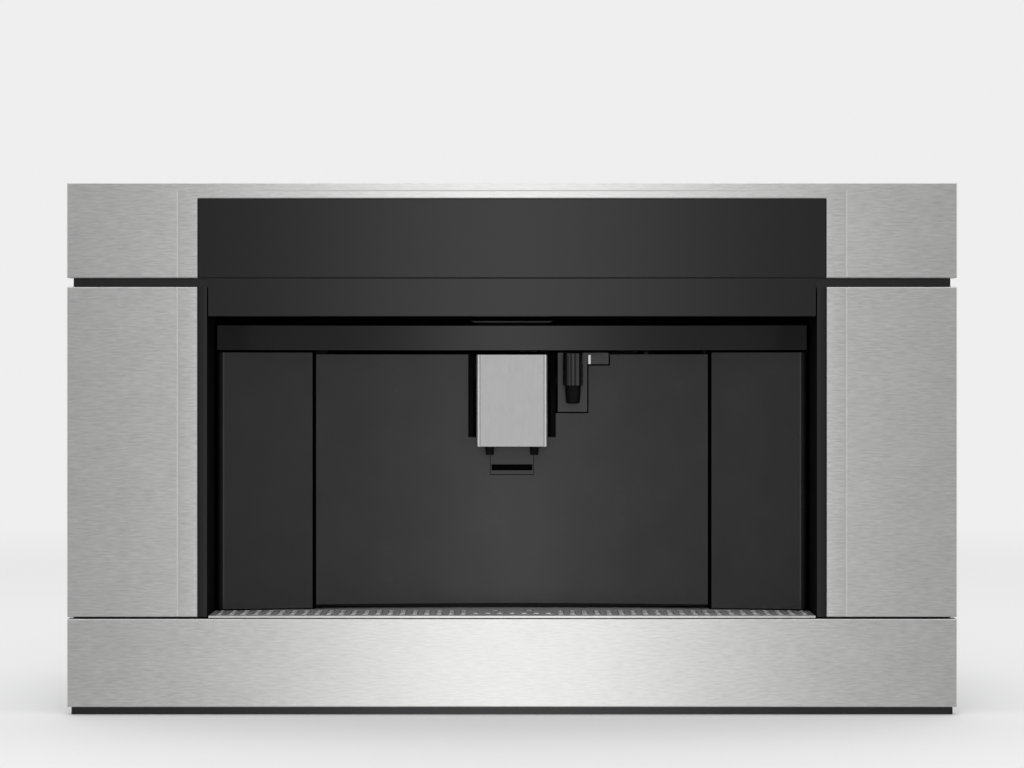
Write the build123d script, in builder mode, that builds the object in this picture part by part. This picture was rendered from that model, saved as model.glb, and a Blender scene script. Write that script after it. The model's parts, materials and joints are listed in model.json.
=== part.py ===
from build123d import *
import math
import os

# Built in coffee machine, 30 inch class, on telescopic rails. Millimetres.
# X right, front faces -Y, Z up. The origin is under the middle of the bounding box.
# Depths are measured back from the front plane.

# Front
front_width = 759.0
front_height = 454.0
overall_depth = 400.0
trim_thickness = 18.0
frame_plate = 4.0
case_seat = 0.5
foot_strip_height = 6.5
foot_strip_depth = 6.0
foot_strip_inset = 3.0
bottom_panel_height = 75.3
upper_band = 13.5
upper_seam = 7.6
glass_height = 67.7
opening_half = 268.2
panel_wall = 1.5
panel_bevel = 0.8
glass_thickness = 5.0
glass_setback = 0.5
glass_ring = 3.0
fascia_height = 32.6
fascia_half = 259.3
fascia_wall = 2.0

# Clearances
seam = 0.3
tray_seam = 1.5
fit = 0.05
slack = 0.3
notch_gap = 1.0
shaft_gap = 1.0
deck_gap = 2.0
channel_fit = 0.2

# Niche
niche_half = 260.1
niche_wall = 2.5
niche_depth = 104.0
ceiling_rise = 6.1
strip_setback = 1.0
curve_radius = 1000.0
curve_depth = 89.5
hood_gap = 12.4
hood_height = 21.6
hood_depth = 63.0
hood_half = 230.0
hood_radius = 1650.0
hood_wall = 2.5
liner_outer = 257.0
liner_wall = 4.0
liner_return = 3.0
liner_rounding = 5.0
liner_lift = 0.8
liner_seam = 1.9
light_half = 36.0
light_rise = 3.0
light_lens = 1.2
light_taper = 3.0
light_depth = 10.0
light_stem_setback = 1.5
light_stem_inset = 5.0

# Service door, hinge and catch
door_half = 172.1
door_seam = 3.1
door_thickness = 10.0
door_skin = 3.0
door_rib = 4.0
door_low = 88.5
door_hood_gap = 3.6
hinge_x = -167.0
hinge_depth = 79.5
hinge_pin_radius = 2.0
hinge_pin_length = 6.5
hinge_bore_length = 7.5
hinge_margin = 5.0
hinge_gap = 0.4
bracket_reach = 4.0
bracket_tail = 15.0
catch_width = 12.0
catch_low = 190.0
catch_height = 15.0
catch_length = 32.0
catch_rounding = 0.5
pull_half = 19.0
pull_height = 33.1
pull_groove_rise = 4.0
pull_groove_height = 4.8
pull_groove_depth = 8.0
pull_cheek = 1.0
pull_depth = 11.5

# Spout
slot_half = 38.6
slot_rise = 7.7
channel_wall = 4.4
channel_back = 2.2
channel_flange = 4.0
flange_gap = 0.5
groove_depth = 2.0
groove_near = 94.0
groove_width = 4.0
cover_half = 31.2
cover_height = 80.4
cover_hood_gap = 3.9
cover_depth = 44.5
cover_back = 88.0
cover_wall = 1.2
cover_rounding = 4.0
carriage_height = 20.6
tip_spacing = 39.0
tip_radius = 4.0
tip_bore = 2.2
tip_depth = 66.0
tip_length = 8.7
tip_taper = 4.0

# Hot water and milk nozzle with its carrier and release
nozzle_x = 53.5
nozzle_depth = 70.0
nozzle_radius = 8.7
nozzle_hood_gap = 2.0
nozzle_length = 29.0
nozzle_tip_radius = 7.0
nozzle_tip_length = 15.8
nozzle_bore = 2.0
nozzle_bevel = 1.0
nozzle_tip_bevel = 1.4
nozzle_tip_taper = 3.5
plug_radius = 5.0
plug_neck_radius = 6.5
plug_length = 10.5
plug_drop = 15.0
notch_right = 67.5
notch_height = 51.8
latch_notch_right = 86.5
latch_notch_height = 9.8
carrier_near = 88.7
carrier_thickness = 8.0
carrier_boss_radius = 9.0
carrier_boss_length = 3.0
carrier_left = 40.4
carrier_rebate = 3.0
release_half = 6.2
release_plate = 4.0
release_height = 8.0
release_travel = 6.0
release_lip = 2.3
release_offset = 0.4
release_lip_reach = 4.0
release_shank = 4.0

# Drip drawer
tray_floor = 9.8
tray_wall = 2.5
tray_rear_half = 165.0
tray_rear = 240.0
plate_thickness = 1.8
plate_rise = 1.0
plate_side_gap = 1.3
plate_rear = 98.0
plate_rear_half = 173.0
plate_curve_gap = 1.0
hole_pitch = 10.47
hole_columns = 24
hole_bare_columns = 3
slot_length = 12.0
slot_width = 5.2
slot_rows = 3
slot_first = 17.0
slot_row_pitch = 15.0
front_hole_depth = 26.0
front_hole_size = 5.2
drain_radius = 4.0
drain_spacing = 29.6
drain_depth = 58.0

# Case
case_half = 265.0
sheet = 1.5
case_low = 8.0
case_drop = 12.0
top_sheet = 2.0
pan_lip = 12.0
deck_drop = 130.0
deck_sheet = 2.0
bay_half = 172.0
bay_wall = 2.0
bay_near = 100.0
bay_back = 254.0
bay_floor_low = 84.9
vent_length = 60.0
vent_width = 4.0
vent_pitch = 12.0
vent_count = 8

# Rails
rail_reach = 280.0
rail_height = 45.0
rail_rear_gap = 17.0
rail_near = 30.0
rail_centre = 200.0
rail_wall = 1.6
rail_hole_radius = 2.6
rail_hole_spacing = 224.0
rail_web_gap = 1.2

# Hopper, funnel and their lids
hopper_x = -40.0
hopper_depth = 200.0
hopper_width = 130.0
hopper_length = 120.0
hopper_throat = 24.0
hopper_wall = 2.0
hopper_rounding = 6.0
funnel_x = 100.0
funnel_depth = 145.0
funnel_width = 56.0
funnel_length = 56.0
funnel_throat = 12.0
funnel_drop = 16.0
lid_thickness = 5.0
lid_overlap = 3.0
lid_pin_radius = 1.5
lid_knuckle_radius = 3.0
lid_knuckle_length = 10.0
lid_ear_width = 4.0
lid_axis_setback = 5.0
lid_axis_height = 3.5

# Grinder
motor_radius = 34.0
motor_height = 50.0
grinder_radius = 45.0
grinder_height = 30.0
burr_bore = 26.0
burr_inner = 23.0
burr_shaft_radius = 4.0
burr_shaft_length = 12.0
burr_height = 18.0
burr_cone_radius = 21.5
burr_tip_radius = 12.0
burr_tooth = 2.0
burr_teeth = 12
ring_teeth = 18
burr_skew = 14.0
chute_width = 24.0
knob_x = 42.0
knob_radius = 12.0
knob_height = 9.0
knob_bevel = 1.0
flute_radius = 2.0
flute_count = 8
spindle_radius = 3.0
boss_radius = 8.0

# Brew unit and grounds container
brew_left = 25.0
brew_right = 145.0
brew_near = 115.0
brew_back = 245.0
brew_plate = 8.0
brew_deck_gap = 22.0
screw_x = 125.0
screw_depth = 215.0
screw_radius = 5.0
screw_rise = 20.0
screw_foot = 2.0
chamber_x = 68.0
chamber_depth = 165.0
chamber_radius = 26.0
chamber_bore = 22.0
chamber_gap = 8.0
chamber_height = 62.0
chamber_floor = 10.0
piston_drop = 70.0
piston_rod_radius = 10.0
carriage_arm = 20.0
gearmotor_width = 60.0
gearmotor_height = 56.0
gearmotor_radius = 18.0
gearbox_rounding = 4.0
grounds_left = -160.0
grounds_right = -10.0
grounds_near = 106.0
grounds_back = 248.0
grounds_drop = 72.0
grounds_wall = 2.0

# Water tank and cradle
tank_left = 184.0
tank_right = 256.0
tank_length = 180.0
tank_rear_gap = 17.0
tank_low = 215.0
tank_top_gap = 4.0
tank_wall = 2.5
tank_rounding = 10.0
tank_gap = 2.0
tank_lid_height = 8.0
grip_margin = 10.0
grip_length = 40.0
tank_spigot_radius = 8.0
tank_spigot_length = 8.0
cradle_sheet = 3.0
cradle_lip = 12.0

# Boilers, pump, boards, inlet and switch
boiler_x = -205.0
coffee_boiler_depth = 165.0
coffee_boiler_radius = 34.0
coffee_boiler_height = 96.0
steam_boiler_depth = 275.0
steam_boiler_radius = 40.0
steam_boiler_height = 104.0
boiler_dome_rise = 7.0
boiler_dome_reach = 14.0
boiler_fitting_radius = 6.0
boiler_fitting_height = 12.0
pump_x = -100.0
pump_rear_gap = 27.0
pump_length = 95.0
pump_radius = 20.0
pump_outlet_radius = 6.5
board_near = 150.0
board_rear_gap = 47.0
board_low = 120.0
board_deck_gap = 22.0
board_standoff = 8.0
board_sheet = 1.6
touch_board_width = 360.0
transformer_side = 48.0
transformer_height = 30.0
transformer_margin = 24.0
inlet_x = -70.0
inlet_height = 56.0
inlet_width = 48.0
inlet_tall = 28.0
inlet_flange = 3.0
inlet_length = 28.0
inlet_wall = 3.0
socket_width = 36.0
socket_tall = 22.0
contact_spacing = 9.6
contact_width = 2.0
contact_tall = 6.0
switch_x = 0.0
switch_width = 22.0
switch_tall = 26.0
switch_setback = 6.0
switch_wall = 3.0
switch_flange = 6.0
switch_pin_reach = 2.0
switch_pin_radius = 1.2
switch_tilt = 7.0
rocker_margin = 2.0
rocker_crown = 5.0
rocker_rise = 1.2
rocker_root = 2.5
screw_head_radius = 3.5
screw_head_height = 2.0
screw_shank_radius = 1.5
screw_length = 6.0

# Places that follow from the sizes above
frame_front = trim_thickness
cabinet_face = trim_thickness + frame_plate
case_near = cabinet_face - case_seat
case_back = overall_depth - inlet_flange
bottom_panel_low = foot_strip_height + seam
bottom_panel_high = bottom_panel_low + bottom_panel_height
wing_low = bottom_panel_high + tray_seam
glass_high = front_height - upper_band
upper_low = glass_high - glass_height
wing_high = upper_low - upper_seam
fascia_high = upper_low - seam
fascia_low = fascia_high - fascia_height
niche_ceiling = fascia_low + ceiling_rise
hood_high = niche_ceiling - hood_gap
hood_low = hood_high - hood_height
plate_high = bottom_panel_high + tray_seam + plate_rise
plate_low = plate_high - plate_thickness
bay_floor = bay_floor_low + bay_wall
hood_middle = hood_depth + hood_radius - math.sqrt(hood_radius**2 - hood_half**2)
liner_low = plate_high + liner_lift
liner_high = hood_low - liner_seam
liner_inner = door_half + door_seam
door_high = hood_low - door_hood_gap
cover_high = hood_low - cover_hood_gap
cover_low = cover_high - cover_height
slot_low = cover_low + slot_rise
pull_low = slot_low - pull_height
pull_groove_low = pull_low + pull_groove_rise
nozzle_high = hood_low - nozzle_hood_gap
nozzle_low = nozzle_high - nozzle_length
nozzle_tip_low = nozzle_low - nozzle_tip_length
plug_height = nozzle_high - plug_drop
notch_low = door_high - notch_height
latch_notch_low = door_high - latch_notch_height
case_floor = case_low + sheet
case_high = front_height - case_drop
case_rear_inside = case_back - sheet
top_low = case_high - top_sheet
deck_low = case_high - deck_drop
deck_high = deck_low + deck_sheet
funnel_low = deck_low - funnel_drop
brew_high = deck_low - brew_deck_gap
piston_low = brew_high - piston_drop
chamber_low = piston_low - chamber_gap - chamber_height
grounds_high = deck_low - grounds_drop
screw_high = deck_low + screw_rise
tank_high = case_high - tank_top_gap
board_high = deck_low - board_deck_gap
rail_length = case_back - rail_rear_gap - rail_near
tank_back = case_back - tank_rear_gap
tank_near = tank_back - tank_length
pump_near = case_back - pump_rear_gap - pump_length
board_back = case_back - board_rear_gap
switch_pivot_depth = case_back - switch_setback
carriage_high = cover_high - cover_wall - slack
carriage_low = carriage_high - carriage_height
release_x = notch_right + release_half - release_offset
release_stem_x = release_x - release_half + release_shank / 2 + slack

os.makedirs("parts", exist_ok=True)


def y_at(depth):
    return depth - overall_depth / 2


def facing(depth):
    """Upright sketch plane at a depth, looking at the front."""
    return Plane.XZ.offset(-y_at(depth))


def save(piece, label):
    piece.part.label = label
    export_step(piece.part, f"parts/{label}.step")


def block(left, right, near, far, low, high, mode=Mode.ADD):
    """Straight slab between two heights, inside the part that is open."""
    with BuildSketch(Plane.XY.offset(low)) as outline:
        with Locations(((left + right) / 2, y_at((near + far) / 2))):
            Rectangle(right - left, far - near)
    extrude(outline.sketch, amount=high - low, mode=mode)


def prism(plane, points, amount, mode=Mode.ADD):
    """Closed outline drawn on a plane and extruded."""
    with BuildSketch(plane) as outline:
        with BuildLine():
            Polyline(*points, close=True)
        make_face()
    extrude(outline.sketch, amount=amount, mode=mode)


def post(x, depth, low, high, radius, mode=Mode.ADD):
    """Upright round bar or bore."""
    with BuildSketch(Plane.XY.offset(low)) as outline:
        with Locations((x, y_at(depth))):
            Circle(radius)
    extrude(outline.sketch, amount=high - low, mode=mode)


def bar(x, height, near, far, radius, mode=Mode.ADD):
    """Round bar or bore that runs from back to front."""
    with BuildSketch(facing(far)) as outline:
        with Locations((x, height)):
            Circle(radius)
    extrude(outline.sketch, amount=far - near, mode=mode)


def cross_bar(left, right, depth, height, radius, mode=Mode.ADD):
    """Round bar or bore that runs from left to right."""
    with BuildSketch(Plane.YZ.offset(left)) as outline:
        with Locations((y_at(depth), height)):
            Circle(radius)
    extrude(outline.sketch, amount=right - left, mode=mode)


def curve_at(x, behind=0.0):
    """Depth of the niche curve at x, or of a curve that runs behind it."""
    radius = curve_radius + behind
    return curve_depth - curve_radius + math.sqrt(radius**2 - x**2)


def curved_plan(left, right, near, low, far_behind=None, far_depth=None):
    """Plan outline whose front follows the niche curve, its back the curve or a straight line."""
    middle = (left + right) / 2
    with BuildSketch(Plane.XY.offset(low)) as outline:
        with BuildLine():
            front = [(x, y_at(curve_at(x, near))) for x in (left, middle, right)]
            ThreePointArc(*front)
            if far_depth is None:
                back = [(x, y_at(curve_at(x, far_behind))) for x in (right, middle, left)]
                ThreePointArc(*back)
            else:
                back = [(right, y_at(far_depth)), (left, y_at(far_depth))]
                Line(*back)
            Line(front[-1], back[0])
            Line(back[-1], front[0])
        make_face()
    return outline.sketch


def folded_panel(points, near, far):
    """Sheet panel with its edges folded back and a small bevel round its face."""
    with BuildSketch(facing(far)) as outline:
        with BuildLine():
            Polyline(*points, close=True)
        make_face()
    extrude(outline.sketch, amount=far - near)
    chamfer(faces().sort_by(Axis.Y)[0].edges(), panel_bevel)
    with BuildSketch(facing(far)) as inside:
        with BuildLine():
            Polyline(*points, close=True)
        make_face()
        offset(amount=-panel_wall, kind=Kind.INTERSECTION)
    extrude(inside.sketch, amount=far - near - panel_wall, mode=Mode.SUBTRACT)


def rectangle_points(left, right, low, high):
    return [(left, low), (right, low), (right, high), (left, high)]


# Stainless front panels


def make_upper_trim():
    half = front_width / 2
    outline = [
        (-half, upper_low),
        (-opening_half, upper_low),
        (-opening_half, glass_high),
        (opening_half, glass_high),
        (opening_half, upper_low),
        (half, upper_low),
        (half, front_height),
        (-half, front_height),
    ]
    with BuildPart() as upper_trim:
        folded_panel(outline, 0, frame_front)
    save(upper_trim, "upper_trim")


def make_wings():
    half = front_width / 2
    with BuildPart() as wing_panels:
        for left, right in ((-half, -opening_half), (opening_half, half)):
            prism(facing(frame_front), rectangle_points(left, right, wing_low, wing_high), frame_front)
        chamfer(faces().filter_by(Axis.Y).group_by(Axis.Y)[0].edges(), panel_bevel)
        for left, right in ((-half, -opening_half), (opening_half, half)):
            inside = rectangle_points(left + panel_wall, right - panel_wall, wing_low + panel_wall,
                                      wing_high - panel_wall)
            prism(facing(frame_front), inside, frame_front - panel_wall, mode=Mode.SUBTRACT)
    save(wing_panels, "wing_panels")


def make_front_frame():
    half = front_width / 2 - foot_strip_inset
    window = niche_half + niche_wall + slack
    seat = case_half + sheet + slack
    ring_half = opening_half - seam
    board_gap = glass_setback + glass_thickness
    with BuildPart() as front_frame:
        block(-half, half, frame_front, cabinet_face, 0, front_height - foot_strip_inset)
        block(-half, half, foot_strip_depth, frame_front, 0, foot_strip_height)
        block(-seat, seat, case_near, cabinet_face, case_low - slack, case_high + slack, mode=Mode.SUBTRACT)
        block(-window, window, 0, cabinet_face, case_floor, niche_ceiling + niche_wall, mode=Mode.SUBTRACT)
        prism(facing(frame_front), rectangle_points(-ring_half, ring_half, upper_low, glass_high - seam),
              frame_front - board_gap)
        prism(facing(frame_front),
              rectangle_points(-ring_half + glass_ring, ring_half - glass_ring,
                               upper_low + glass_ring, glass_high - seam - glass_ring),
              frame_front - board_gap, mode=Mode.SUBTRACT)
    save(front_frame, "front_frame")


def make_control_glass():
    half = opening_half - seam
    with BuildPart() as control_glass:
        block(-half, half, glass_setback, glass_setback + glass_thickness, upper_low, glass_high - seam)
        chamfer(faces().sort_by(Axis.Y)[0].edges(), glass_setback)
    save(control_glass, "control_glass")


def make_control_board():
    half = touch_board_width / 2
    low = upper_low + 2 * glass_ring
    high = glass_high - 3 * glass_ring
    with BuildPart() as control_board:
        block(-half, half, frame_front - board_sheet, frame_front, low, high)
        block(-half / 2, half / 2, frame_front - board_standoff,
              frame_front - board_sheet, low + glass_ring, high - glass_ring)
    save(control_board, "control_board")


def make_fascia():
    with BuildPart() as fascia:
        block(-fascia_half, fascia_half, glass_setback, frame_front, fascia_low, fascia_high)
        chamfer(faces().sort_by(Axis.Y)[0].edges(), glass_setback)
        block(-fascia_half + fascia_wall, fascia_half - fascia_wall, glass_setback + fascia_wall, frame_front,
              fascia_low + fascia_wall, fascia_high - fascia_wall, mode=Mode.SUBTRACT)
    save(fascia, "fascia")


# Niche


def make_niche_surround():
    strip_back = strip_setback + niche_wall
    wall_outer = niche_half + niche_wall
    strip_outer = opening_half - seam
    with BuildPart() as niche_surround:
        for side in (-1, 1):
            inner, outer = sorted((side * niche_half, side * wall_outer))
            block(inner, outer, strip_setback, niche_depth, wing_low, niche_ceiling)
            inner, outer = sorted((side * niche_half, side * strip_outer))
            block(inner, outer, strip_setback, strip_back, wing_low, wing_high)
        block(-wall_outer, wall_outer, frame_front, niche_depth, niche_ceiling, niche_ceiling + niche_wall)
    save(niche_surround, "niche_surround")


def hood_plan(inset):
    """Plan of the hood with its hollow front, or of the space inside its walls."""
    half = hood_half - inset
    ends = y_at(hood_depth + inset)
    back = y_at(niche_depth - inset)
    with BuildSketch(Plane.XY.offset(hood_low + inset)) as outline:
        with BuildLine():
            ThreePointArc((-half, ends), (0, y_at(hood_middle + inset)), (half, ends))
            Polyline((half, ends), (half, back), (-half, back), (-half, ends))
        make_face()
    return outline.sketch


def make_niche_hood():
    with BuildPart() as niche_hood:
        extrude(curved_plan(-liner_outer, liner_outer, 0, hood_low, far_depth=niche_depth),
                amount=hood_height)
        extrude(hood_plan(0), amount=hood_height)
        inner_half = liner_outer - hood_wall
        extrude(curved_plan(-inner_half, inner_half, hood_wall, hood_low + hood_wall,
                            far_depth=niche_depth - hood_wall),
                amount=hood_height, mode=Mode.SUBTRACT)
        extrude(hood_plan(hood_wall), amount=hood_height, mode=Mode.SUBTRACT)
    save(niche_hood, "niche_hood")


def make_niche_liner():
    with BuildPart() as niche_liner:
        for side in (-1, 1):
            left, right = sorted((side * liner_inner, side * liner_outer))
            extrude(curved_plan(left, right, 0, liner_low, far_depth=niche_depth),
                    amount=liner_high - liner_low)
        outer_corners = edges().filter_by(Axis.Z).group_by(Axis.Y)[0]
        fillet(outer_corners, liner_rounding)
        for side in (-1, 1):
            left, right = sorted((side * (liner_inner + liner_return), side * (liner_outer - liner_wall)))
            extrude(curved_plan(left, right, liner_wall, liner_low, far_depth=niche_depth),
                    amount=liner_high - liner_low, mode=Mode.SUBTRACT)
    save(niche_liner, "niche_liner")


def make_cup_light():
    lens_low = hood_high + light_rise
    with BuildPart() as cup_light:
        stem_half = light_half - light_stem_inset
        block(-stem_half, stem_half, hood_middle + light_stem_setback, hood_middle + light_depth,
              hood_high, lens_low)
        under_half = light_half - light_taper
        lens = [(-under_half, lens_low), (under_half, lens_low),
                (light_half, lens_low + light_lens), (-light_half, lens_low + light_lens)]
        prism(facing(hood_middle + light_depth), lens, light_depth)
    save(cup_light, "cup_light")


# Case


def make_case():
    with BuildPart() as base_pan:
        block(-case_half, case_half, case_near, case_rear_inside, case_low, case_low + pan_lip)
        block(-case_half + sheet, case_half - sheet, case_near, case_rear_inside - sheet,
              case_floor, case_low + pan_lip, mode=Mode.SUBTRACT)
    save(base_pan, "base_pan")

    vent_middle = (deck_low + case_high) / 2
    with BuildPart() as side_panels:
        for side in (-1, 1):
            inner, outer = sorted((side * case_half, side * (case_half + sheet)))
            block(inner, outer, case_near, case_back, case_low, top_low)
        with BuildSketch(Plane.YZ.offset(-case_half - sheet)) as vents:
            with Locations((y_at(case_back - vent_count * vent_pitch), vent_middle)):
                with GridLocations(vent_pitch, 1, vent_count, 1):
                    Rectangle(vent_width, vent_length)
        extrude(vents.sketch, amount=2 * (case_half + sheet), mode=Mode.SUBTRACT)
    save(side_panels, "side_panels")

    with BuildPart() as rear_panel:
        block(-case_half, case_half, case_rear_inside, case_back, case_low, top_low)
        with BuildSketch(facing(case_back)) as rear_vents:
            with Locations((0, vent_middle)):
                with GridLocations(vent_pitch, 1, 2 * vent_count, 1):
                    Rectangle(vent_width, vent_length)
        extrude(rear_vents.sketch, amount=sheet, mode=Mode.SUBTRACT)
        inlet_body = rectangle_points(inlet_x - inlet_width / 2, inlet_x + inlet_width / 2,
                                      inlet_height - inlet_tall / 2, inlet_height + inlet_tall / 2)
        prism(facing(case_back), inlet_body, sheet, mode=Mode.SUBTRACT)
        switch_half = switch_width / 2 + switch_wall
        switch_body_half = switch_tall / 2 + sheet
        switch_body = rectangle_points(switch_x - switch_half, switch_x + switch_half,
                                       inlet_height - switch_body_half, inlet_height + switch_body_half)
        prism(facing(case_back), switch_body, sheet, mode=Mode.SUBTRACT)
        for x, height in rear_screw_places():
            bar(x, height, case_rear_inside, case_back, screw_shank_radius + fit, mode=Mode.SUBTRACT)
    save(rear_panel, "rear_panel")

    with BuildPart() as mid_deck:
        block(-case_half, case_half, niche_depth + sheet, case_rear_inside, deck_low, deck_high)
        block(tank_left - 2 * tank_gap, case_half, tank_near - 2 * tank_gap, tank_back + 2 * tank_gap,
              deck_low, deck_high, mode=Mode.SUBTRACT)
        post(screw_x, screw_depth, deck_low, deck_high, screw_radius + deck_gap, mode=Mode.SUBTRACT)
        funnel_half = funnel_half_at(deck_high) + slack
        block(funnel_x - funnel_half, funnel_x + funnel_half, funnel_depth - funnel_half,
              funnel_depth + funnel_half, deck_low, deck_high, mode=Mode.SUBTRACT)
        chute_half = chute_width / 2 + deck_gap
        block(chute_left(), chute_left() + chute_width + deck_gap, hopper_depth - chute_half,
              hopper_depth + chute_half, deck_low, deck_high, mode=Mode.SUBTRACT)
    save(mid_deck, "mid_deck")

    with BuildPart() as bulkhead:
        back = niche_depth + sheet
        block(-case_half, case_half, niche_depth, back, bay_floor_low, niche_ceiling + niche_wall)
        block(-bay_half, bay_half, niche_depth, back, bay_floor_low, deck_low, mode=Mode.SUBTRACT)
    save(bulkhead, "bulkhead")

    with BuildPart() as service_bay:
        block(-bay_half, bay_half, bay_near, bay_back, bay_floor_low, deck_low)
        block(-bay_half + bay_wall, bay_half - bay_wall, bay_near, bay_back - bay_wall, bay_floor, deck_low,
              mode=Mode.SUBTRACT)
        block(grounds_right + grounds_wall, brew_left - grounds_wall, grounds_near, grounds_back,
              bay_floor_low, bay_floor, mode=Mode.SUBTRACT)
    save(service_bay, "service_bay")


def rear_screw_places():
    x = case_half - pan_lip
    heights = (case_low + 2 * pan_lip, top_low - 2 * pan_lip)
    return [(side * x, height) for side in (-1, 1) for height in heights]


def top_screw_places():
    x = case_half - pan_lip / 2
    return [(side * x, depth) for side in (-1, 1) for depth in (case_near + pan_lip, case_back - pan_lip)]


def funnel_half_at(height):
    """Half width of the ground coffee funnel's outside at a height."""
    bottom_half = funnel_throat + hopper_wall
    share = (height - funnel_low) / (top_low - funnel_low)
    return bottom_half + (funnel_width / 2 - bottom_half) * share


def chute_left():
    return hopper_x + grinder_radius + deck_gap


def make_top_cover():
    ears = [
        (hopper_x, hopper_depth, hopper_width, hopper_length),
        (funnel_x, funnel_depth, funnel_width, funnel_length),
    ]
    with BuildPart() as top_cover:
        block(-case_half - sheet, case_half + sheet, case_near, case_back, top_low, case_high)
        for x, depth, width, length in ears:
            block(x - width / 2, x + width / 2, depth - length / 2, depth + length / 2, top_low, case_high,
                  mode=Mode.SUBTRACT)
        block(tank_left - tank_gap, tank_right + tank_gap, tank_near - tank_gap, tank_back + tank_gap,
              top_low, case_high, mode=Mode.SUBTRACT)
        post(knob_x, hopper_depth, top_low, case_high, spindle_radius + fit, mode=Mode.SUBTRACT)
        for x, depth in top_screw_places():
            post(x, depth, top_low, case_high, screw_shank_radius + fit, mode=Mode.SUBTRACT)
        for x, depth, width, length in ears:
            axis = lid_axis_depth(depth, length)
            for side in (-1, 1):
                near_x = x + side * (width / 2 - lid_knuckle_length)
                left, right = sorted((near_x, near_x + side * lid_ear_width))
                block(left, right, axis - lid_knuckle_radius, axis + lid_knuckle_radius, case_high,
                      case_high + lid_axis_height + lid_knuckle_radius)
            cross_bar(x - width / 2, x + width / 2, axis, case_high + lid_axis_height, lid_pin_radius + fit,
                      mode=Mode.SUBTRACT)
    save(top_cover, "top_cover")

    with BuildPart() as lid_pins:
        for x, depth, width, length in ears:
            outer = width / 2 - lid_knuckle_length + lid_ear_width
            inner = width / 2 - 2 * lid_knuckle_length
            for side in (-1, 1):
                left, right = sorted((x + side * inner, x + side * outer))
                cross_bar(left, right, lid_axis_depth(depth, length), case_high + lid_axis_height,
                          lid_pin_radius)
    save(lid_pins, "lid_pins")


def lid_axis_depth(depth, length):
    return depth + length / 2 + lid_overlap + lid_axis_setback


def make_lid(label, x, depth, width, length):
    """Cover plate over an opening, with two knuckles behind it on the hinge axis."""
    axis = lid_axis_depth(depth, length)
    axis_height = case_high + lid_axis_height
    low = case_high + slack
    with BuildPart() as lid:
        block(x - width / 2 - lid_overlap, x + width / 2 + lid_overlap, depth - length / 2 - lid_overlap,
              depth + length / 2 + lid_overlap, low, low + lid_thickness)
        fillet(edges().filter_by(Axis.Z), lid_overlap)
        for side in (-1, 1):
            outer = width / 2 - lid_knuckle_length - slack
            left, right = sorted((x + side * outer, x + side * (outer - lid_knuckle_length + slack)))
            cross_bar(left, right, axis, axis_height, lid_knuckle_radius)
            block(left, right, depth + length / 2, axis, axis_height - lid_pin_radius,
                  axis_height + lid_pin_radius)
            cross_bar(left, right, axis, axis_height, lid_pin_radius + fit, mode=Mode.SUBTRACT)
    save(lid, label)


# Rails


def channel_points(web, tip, half_height, wall):
    """C section: its web stands at x = web and its flanges reach to x = tip."""
    inner_web = web + math.copysign(wall, tip - web)
    top = rail_centre + half_height
    bottom = rail_centre - half_height
    return [
        (web, bottom),
        (tip, bottom),
        (tip, bottom + wall),
        (inner_web, bottom + wall),
        (inner_web, top - wall),
        (tip, top - wall),
        (tip, top),
        (web, top),
    ]


def make_rails():
    panel_face = case_half + sheet
    outer_half = rail_height / 2
    middle_half = outer_half - rail_wall - slack
    inner_half = middle_half - rail_wall - slack
    middle_web = rail_reach - rail_wall - rail_web_gap
    middle_tip = panel_face + rail_wall + rail_web_gap
    inner_tip = middle_web - rail_wall - rail_web_gap
    rear = facing(rail_near + rail_length)
    middle = y_at(rail_near + rail_length / 2)
    with BuildPart() as rail_outers:
        prism(rear, channel_points(rail_reach, middle_tip, outer_half, rail_wall), rail_length)
        with BuildSketch(Plane.YZ.offset(panel_face)) as screw_holes:
            with Locations((middle, rail_centre)):
                with GridLocations(rail_hole_spacing, 1, 2, 1):
                    Circle(rail_hole_radius)
        extrude(screw_holes.sketch, amount=rail_reach, mode=Mode.SUBTRACT)
        mirror(about=Plane.YZ)
    save(rail_outers, "rail_outers")

    with BuildPart() as rail_middles:
        prism(rear, channel_points(middle_web, middle_tip, middle_half, rail_wall), rail_length)
        mirror(about=Plane.YZ)
    save(rail_middles, "rail_middles")

    with BuildPart() as rail_inners:
        prism(rear, channel_points(panel_face, inner_tip, inner_half, rail_wall), rail_length)
        mirror(about=Plane.YZ)
    save(rail_inners, "rail_inners")


# Service door and what is on it


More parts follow.
